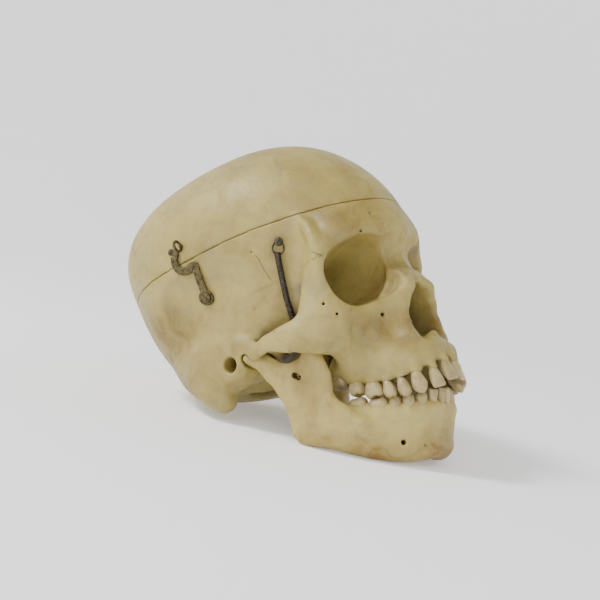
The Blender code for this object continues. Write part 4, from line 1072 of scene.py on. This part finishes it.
def metalMaterial(name, clean, tarnish, scale, metallic, roughness):
    made, tree, inputs = newMaterial(name, clean, roughness, metallic)
    patch = noise(tree, placeOn(tree), scale, 5, 0.65, 0.4)
    colour = blend(tree, between(tree, patch, 0.38, 0.66), clean, tarnish)
    rough = between(tree, patch, 0.35, 0.7, roughness - 0.1, roughness + 0.2)
    dress(tree, inputs, colour, rough, patch, 0.0001, 0.5)
    return made


finishes = {
    # Each bone finish: clean tone, ochre stain tone and the dark tone of its painted shade.
    "head": boneMaterial("agedBone", Clean=(0.385, 0.305, 0.088), Ochre=(0.205, 0.132, 0.023),
                         Deep=(0.045, 0.024, 0.006)),
    "jaw": boneMaterial("agedJawBone", Clean=(0.46, 0.365, 0.11), Ochre=(0.22, 0.13, 0.02),
                        Deep=(0.06, 0.03, 0.006)),
    "teeth": toothMaterial(),
    "brass": metalMaterial("tarnishedBrass", (0.12, 0.092, 0.032), (0.035, 0.027, 0.011), 500, 0.6, 0.42),
    "steel": metalMaterial("darkSpringSteel", (0.09, 0.075, 0.055), (0.03, 0.022, 0.014), 700, 0.75, 0.35),
    "crack": newMaterial("darkCrack", (0.09, 0.06, 0.03), 0.8)[0],
}


def stained(thing, rows, seed):
    points = np.empty(len(thing.data.vertices) * 3, np.float32)
    thing.data.vertices.foreach_get("co", points)
    x, y, z = (points.reshape(-1, 3) * 1000 - vec(*resting["place"])).T
    a = math.radians(resting["lean"])
    p = np.stack([x, y * math.cos(a) - z * math.sin(a), z * math.cos(a) + y * math.sin(a)], 1)
    total = blots(folded(p), rows)
    for i, (wave, strength) in enumerate(stains["ripples"]):
        total = total + strength * ripple(p, wave, seed + i)
    setAttribute(thing, "stain", np.clip(total, -0.4, 1))


# Stained places: centre, reach, strength. Ripples: wave, strength.
stains = {
    "ripples": ((22, 0.12), (7, 0.07)),
    "head": [((52, 50, 6), 26, 0.5), ((60, 16, -2), 14, 0.4), ((64, 24, 26), 18, 0.2),
             ((52, -33, 24), 12, 0.35), ((30, -84, 44), 17, 0.6), ((14, -84, 12), 12, 0.35),
             ((24, -82, -16), 15, 0.6),
             ((40, -62, -10), 12, 0.25), ((58, -36, -9), 10, -0.35), ((45, -64, 24), 7, -0.2),
             ((20, -60, 90), 34, -0.2), ((46, 12, -20), 12, 0.5), ((38, -34, -16), 15, 0.8),
             ((34, 60, 60), 30, 0.25)],
    "jaw": [((22, -62, -84), 14, 0.9), ((8, -76, -86), 11, 0.8), ((43, -30, -62), 12, 0.5),
            ((30, -50, -76), 13, 0.75), ((46, -36, -30), 12, 0.3), ((28, -70, -64), 13, -0.4)],
}
for thing in pieces:
    kind = "teeth" if "Teeth" in thing.name else "jaw" if thing.name == "jawBone" else "head"
    thing.data.materials.append(finishes[kind])
    if kind in stains:
        stained(thing, stains[kind], 5)
for thing in fittings:
    thing.data.materials.append(finishes["steel" if "spring" in thing.name else "brass"])

# Springs: each has a coil, a straight tail and a loop on its pin.
wireGroup, coilGroup = wireShape(), coilShape()
route = smoothRoute(spring["route"] + spring["tail"][:1], 6)
turns = int(np.linalg.norm(np.diff(route, axis=0), axis=1).sum() / spring["pitch"])
pinPlace, pinOut = sideOf(*pin["place"])
drop = route[0] - pinPlace
drop -= pinOut * (drop @ pinOut)
top, bottom = pin["loopTop"], np.linalg.norm(drop) + pin["loopBelow"]
drop /= np.linalg.norm(drop)
around = np.linspace(-0.5, 2 * math.pi + 0.5, 40)[:, None]
loop = pinPlace + pinOut * pin["loopStand"] + drop * (top + bottom + np.cos(around) * (bottom - top)) / 2
loop = loop + np.cross(pinOut, drop) * np.sin(around) * pin["loopRadius"]
tail = smoothRoute(spring["tail"], 6)
coilSizes = {"Wire": spring["wire"] * 0.001, "Coil": spring["coilRadius"] * 0.001, "Turns": turns,
             "Finish": finishes["steel"]}
loopSizes = {"Wire": pin["loopWire"] * 0.001, "Finish": finishes["steel"]}
springs = []
for side, word in ((1, "Left"), (-1, "Right")):
    coil = grow("coilSpring" + word, [route * [side, 1, 1]], coilGroup, coilSizes)
    wire = grow("springWire" + word, [tail * [side, 1, 1], loop * [side, 1, 1]], wireGroup, loopSizes)
    springs.append((coil, wire, "spring_" + word.lower()))

cracks = {
    "depth": 0.02, "wire": 0.17, "wander": 0.16,
    "routes": [
        [(-57.2, -34.0, 41.5), (-57, -34.6, 39.6), (-56.4, -35.6, 36), (-55.4, -36, 32), (-54.6, -37.2, 28),
         (-53.6, -38, 25.1)],
        [(-50.5, -66.2, 31), (-49.5, -67.6, 29.5), (-48, -68.4, 28.3), (-46.5, -69, 27.8)],
    ],
}


def laidOn(route, values, axes, lift):
    p = np.array(route, float)
    for _ in range(5):
        p = p - slopeOf(values, axes, p) * sample(values, axes, p)[:, None] * 0.8
    return p + slopeOf(values, axes, p) * lift


routes = []
random = np.random.default_rng(4)
for line in cracks["routes"]:
    r = smoothRoute(line, 6)
    r[:, 1:] += random.normal(0, cracks["wander"], (len(r), 2))
    routes.append(laidOn(r, *fullGrid, cracks["depth"]))
crackSizes = {"Wire": cracks["wire"] * 0.001, "Finish": finishes["crack"]}
crackPiece = grow("boneCracks", routes, wireGroup, crackSizes, True)

# Stage, light and camera.
view = {"azimuth": -54.0, "elevation": -15.651, "roll": -14.701, "sensor": 36, "pixels": 600,
        "focal": 1258.025, "distance": 732.844, "shift": (3.706, 30.157)}

def lookAxes(azimuth, elevation, roll):
    a, e, r = (math.radians(v) for v in (azimuth, elevation, roll))
    back = Vector((math.sin(a) * math.cos(e), -math.cos(a) * math.cos(e), math.sin(e)))
    right = Vector((math.cos(a), math.sin(a), 0))
    up = back.cross(right)
    c, s = math.cos(r), math.sin(r)
    return right * c + up * s, up * c - right * s, back


camera = bpy.data.cameras.new("photoCamera")
camera.sensor_width = view["sensor"]
camera.lens = view["sensor"] * view["focal"] / view["pixels"]
camera.clip_start = 0.02
cameraObject = bpy.data.objects.new("photoCamera", camera)
bpy.context.scene.collection.objects.link(cameraObject)
bpy.context.scene.camera = cameraObject
right, up, back = lookAxes(view["azimuth"], view["elevation"], view["roll"])
eye = right * view["shift"][0] + up * view["shift"][1] + back * view["distance"]
lean = Matrix.Rotation(math.radians(-resting["lean"]), 3, "X")
turn = Matrix((lean @ right, lean @ up, lean @ back)).transposed().to_4x4()
cameraObject.matrix_world = Matrix.Translation(Vector(worldOf([eye])[0])) @ turn

backdrop = {"flat": 0.9, "radius": 1.1, "height": 2.4, "around": 64, "glow": 0.3}


def backdropMesh():
    profile = [(0.02, 0.0), (0.3, 0.0), (backdrop["flat"], 0.0)]
    flat, radius = backdrop["flat"], backdrop["radius"]
    for a in np.radians(np.arange(7.5, 90.1, 7.5)):
        profile.append((flat + radius * math.sin(a), radius * (1 - math.cos(a))))
    profile.append((flat + radius, backdrop["height"]))
    n = backdrop["around"]
    turn = np.arange(n) * 2 * math.pi / n
    points = [(0, 0, 0)] + [(r * math.cos(a), r * math.sin(a), h) for r, h in profile for a in turn]
    faces = [(0, 1 + i, 1 + (i + 1) % n) for i in range(n)]
    for k in range(len(profile) - 1):
        low, high = 1 + k * n, 1 + (k + 1) * n
        faces += [(low + i, high + i, high + (i + 1) % n, low + (i + 1) % n) for i in range(n)]
    return makeMesh("paleBackdrop", points, faces, local=False)


floor = backdropMesh()
floorFinish, tree, inputs = newMaterial("palePaper", (0.97, 0.97, 0.97), 0.95)
inputs["Emission Color"].default_value = (1, 1, 1, 1)
inputs["Emission Strength"].default_value = backdrop["glow"]
floor.data.materials.append(floorFinish)

world = bpy.data.worlds.new("softStudio")
bpy.context.scene.world = world
world.use_nodes = True
light = world.node_tree.nodes["Background"].inputs
light["Color"].default_value = (1, 1, 1, 1)
light["Strength"].default_value = 0.15


def areaLight(name, place, target, size, power):
    light = bpy.data.lights.new(name, "AREA")
    light.size = size
    light.energy = power
    thing = bpy.data.objects.new(name, light)
    bpy.context.scene.collection.objects.link(thing)
    thing.location = place
    thing.rotation_euler = (Vector(target) - Vector(place)).to_track_quat("-Z", "Y").to_euler()


areaLight("keyLight", (-0.9, 0.75, 1.35), (0, 0, 0.08), 0.4, 26)
areaLight("frontLight", (-1.1, -0.6, 0.8), (0, 0, 0.08), 0.25, 2.4)

for thing in pieces:
    if thing.name in nodesOf:
        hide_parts(*nodesOf[thing.name])
    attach(thing, "root")
for thing in fittings:
    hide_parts(*nodesOf[thing.name])
    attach(thing, "root")
for coil, wire, node in springs:
    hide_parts(node)
    for thing in (coil, wire):
        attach(thing, "root")
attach(crackPiece, "root")
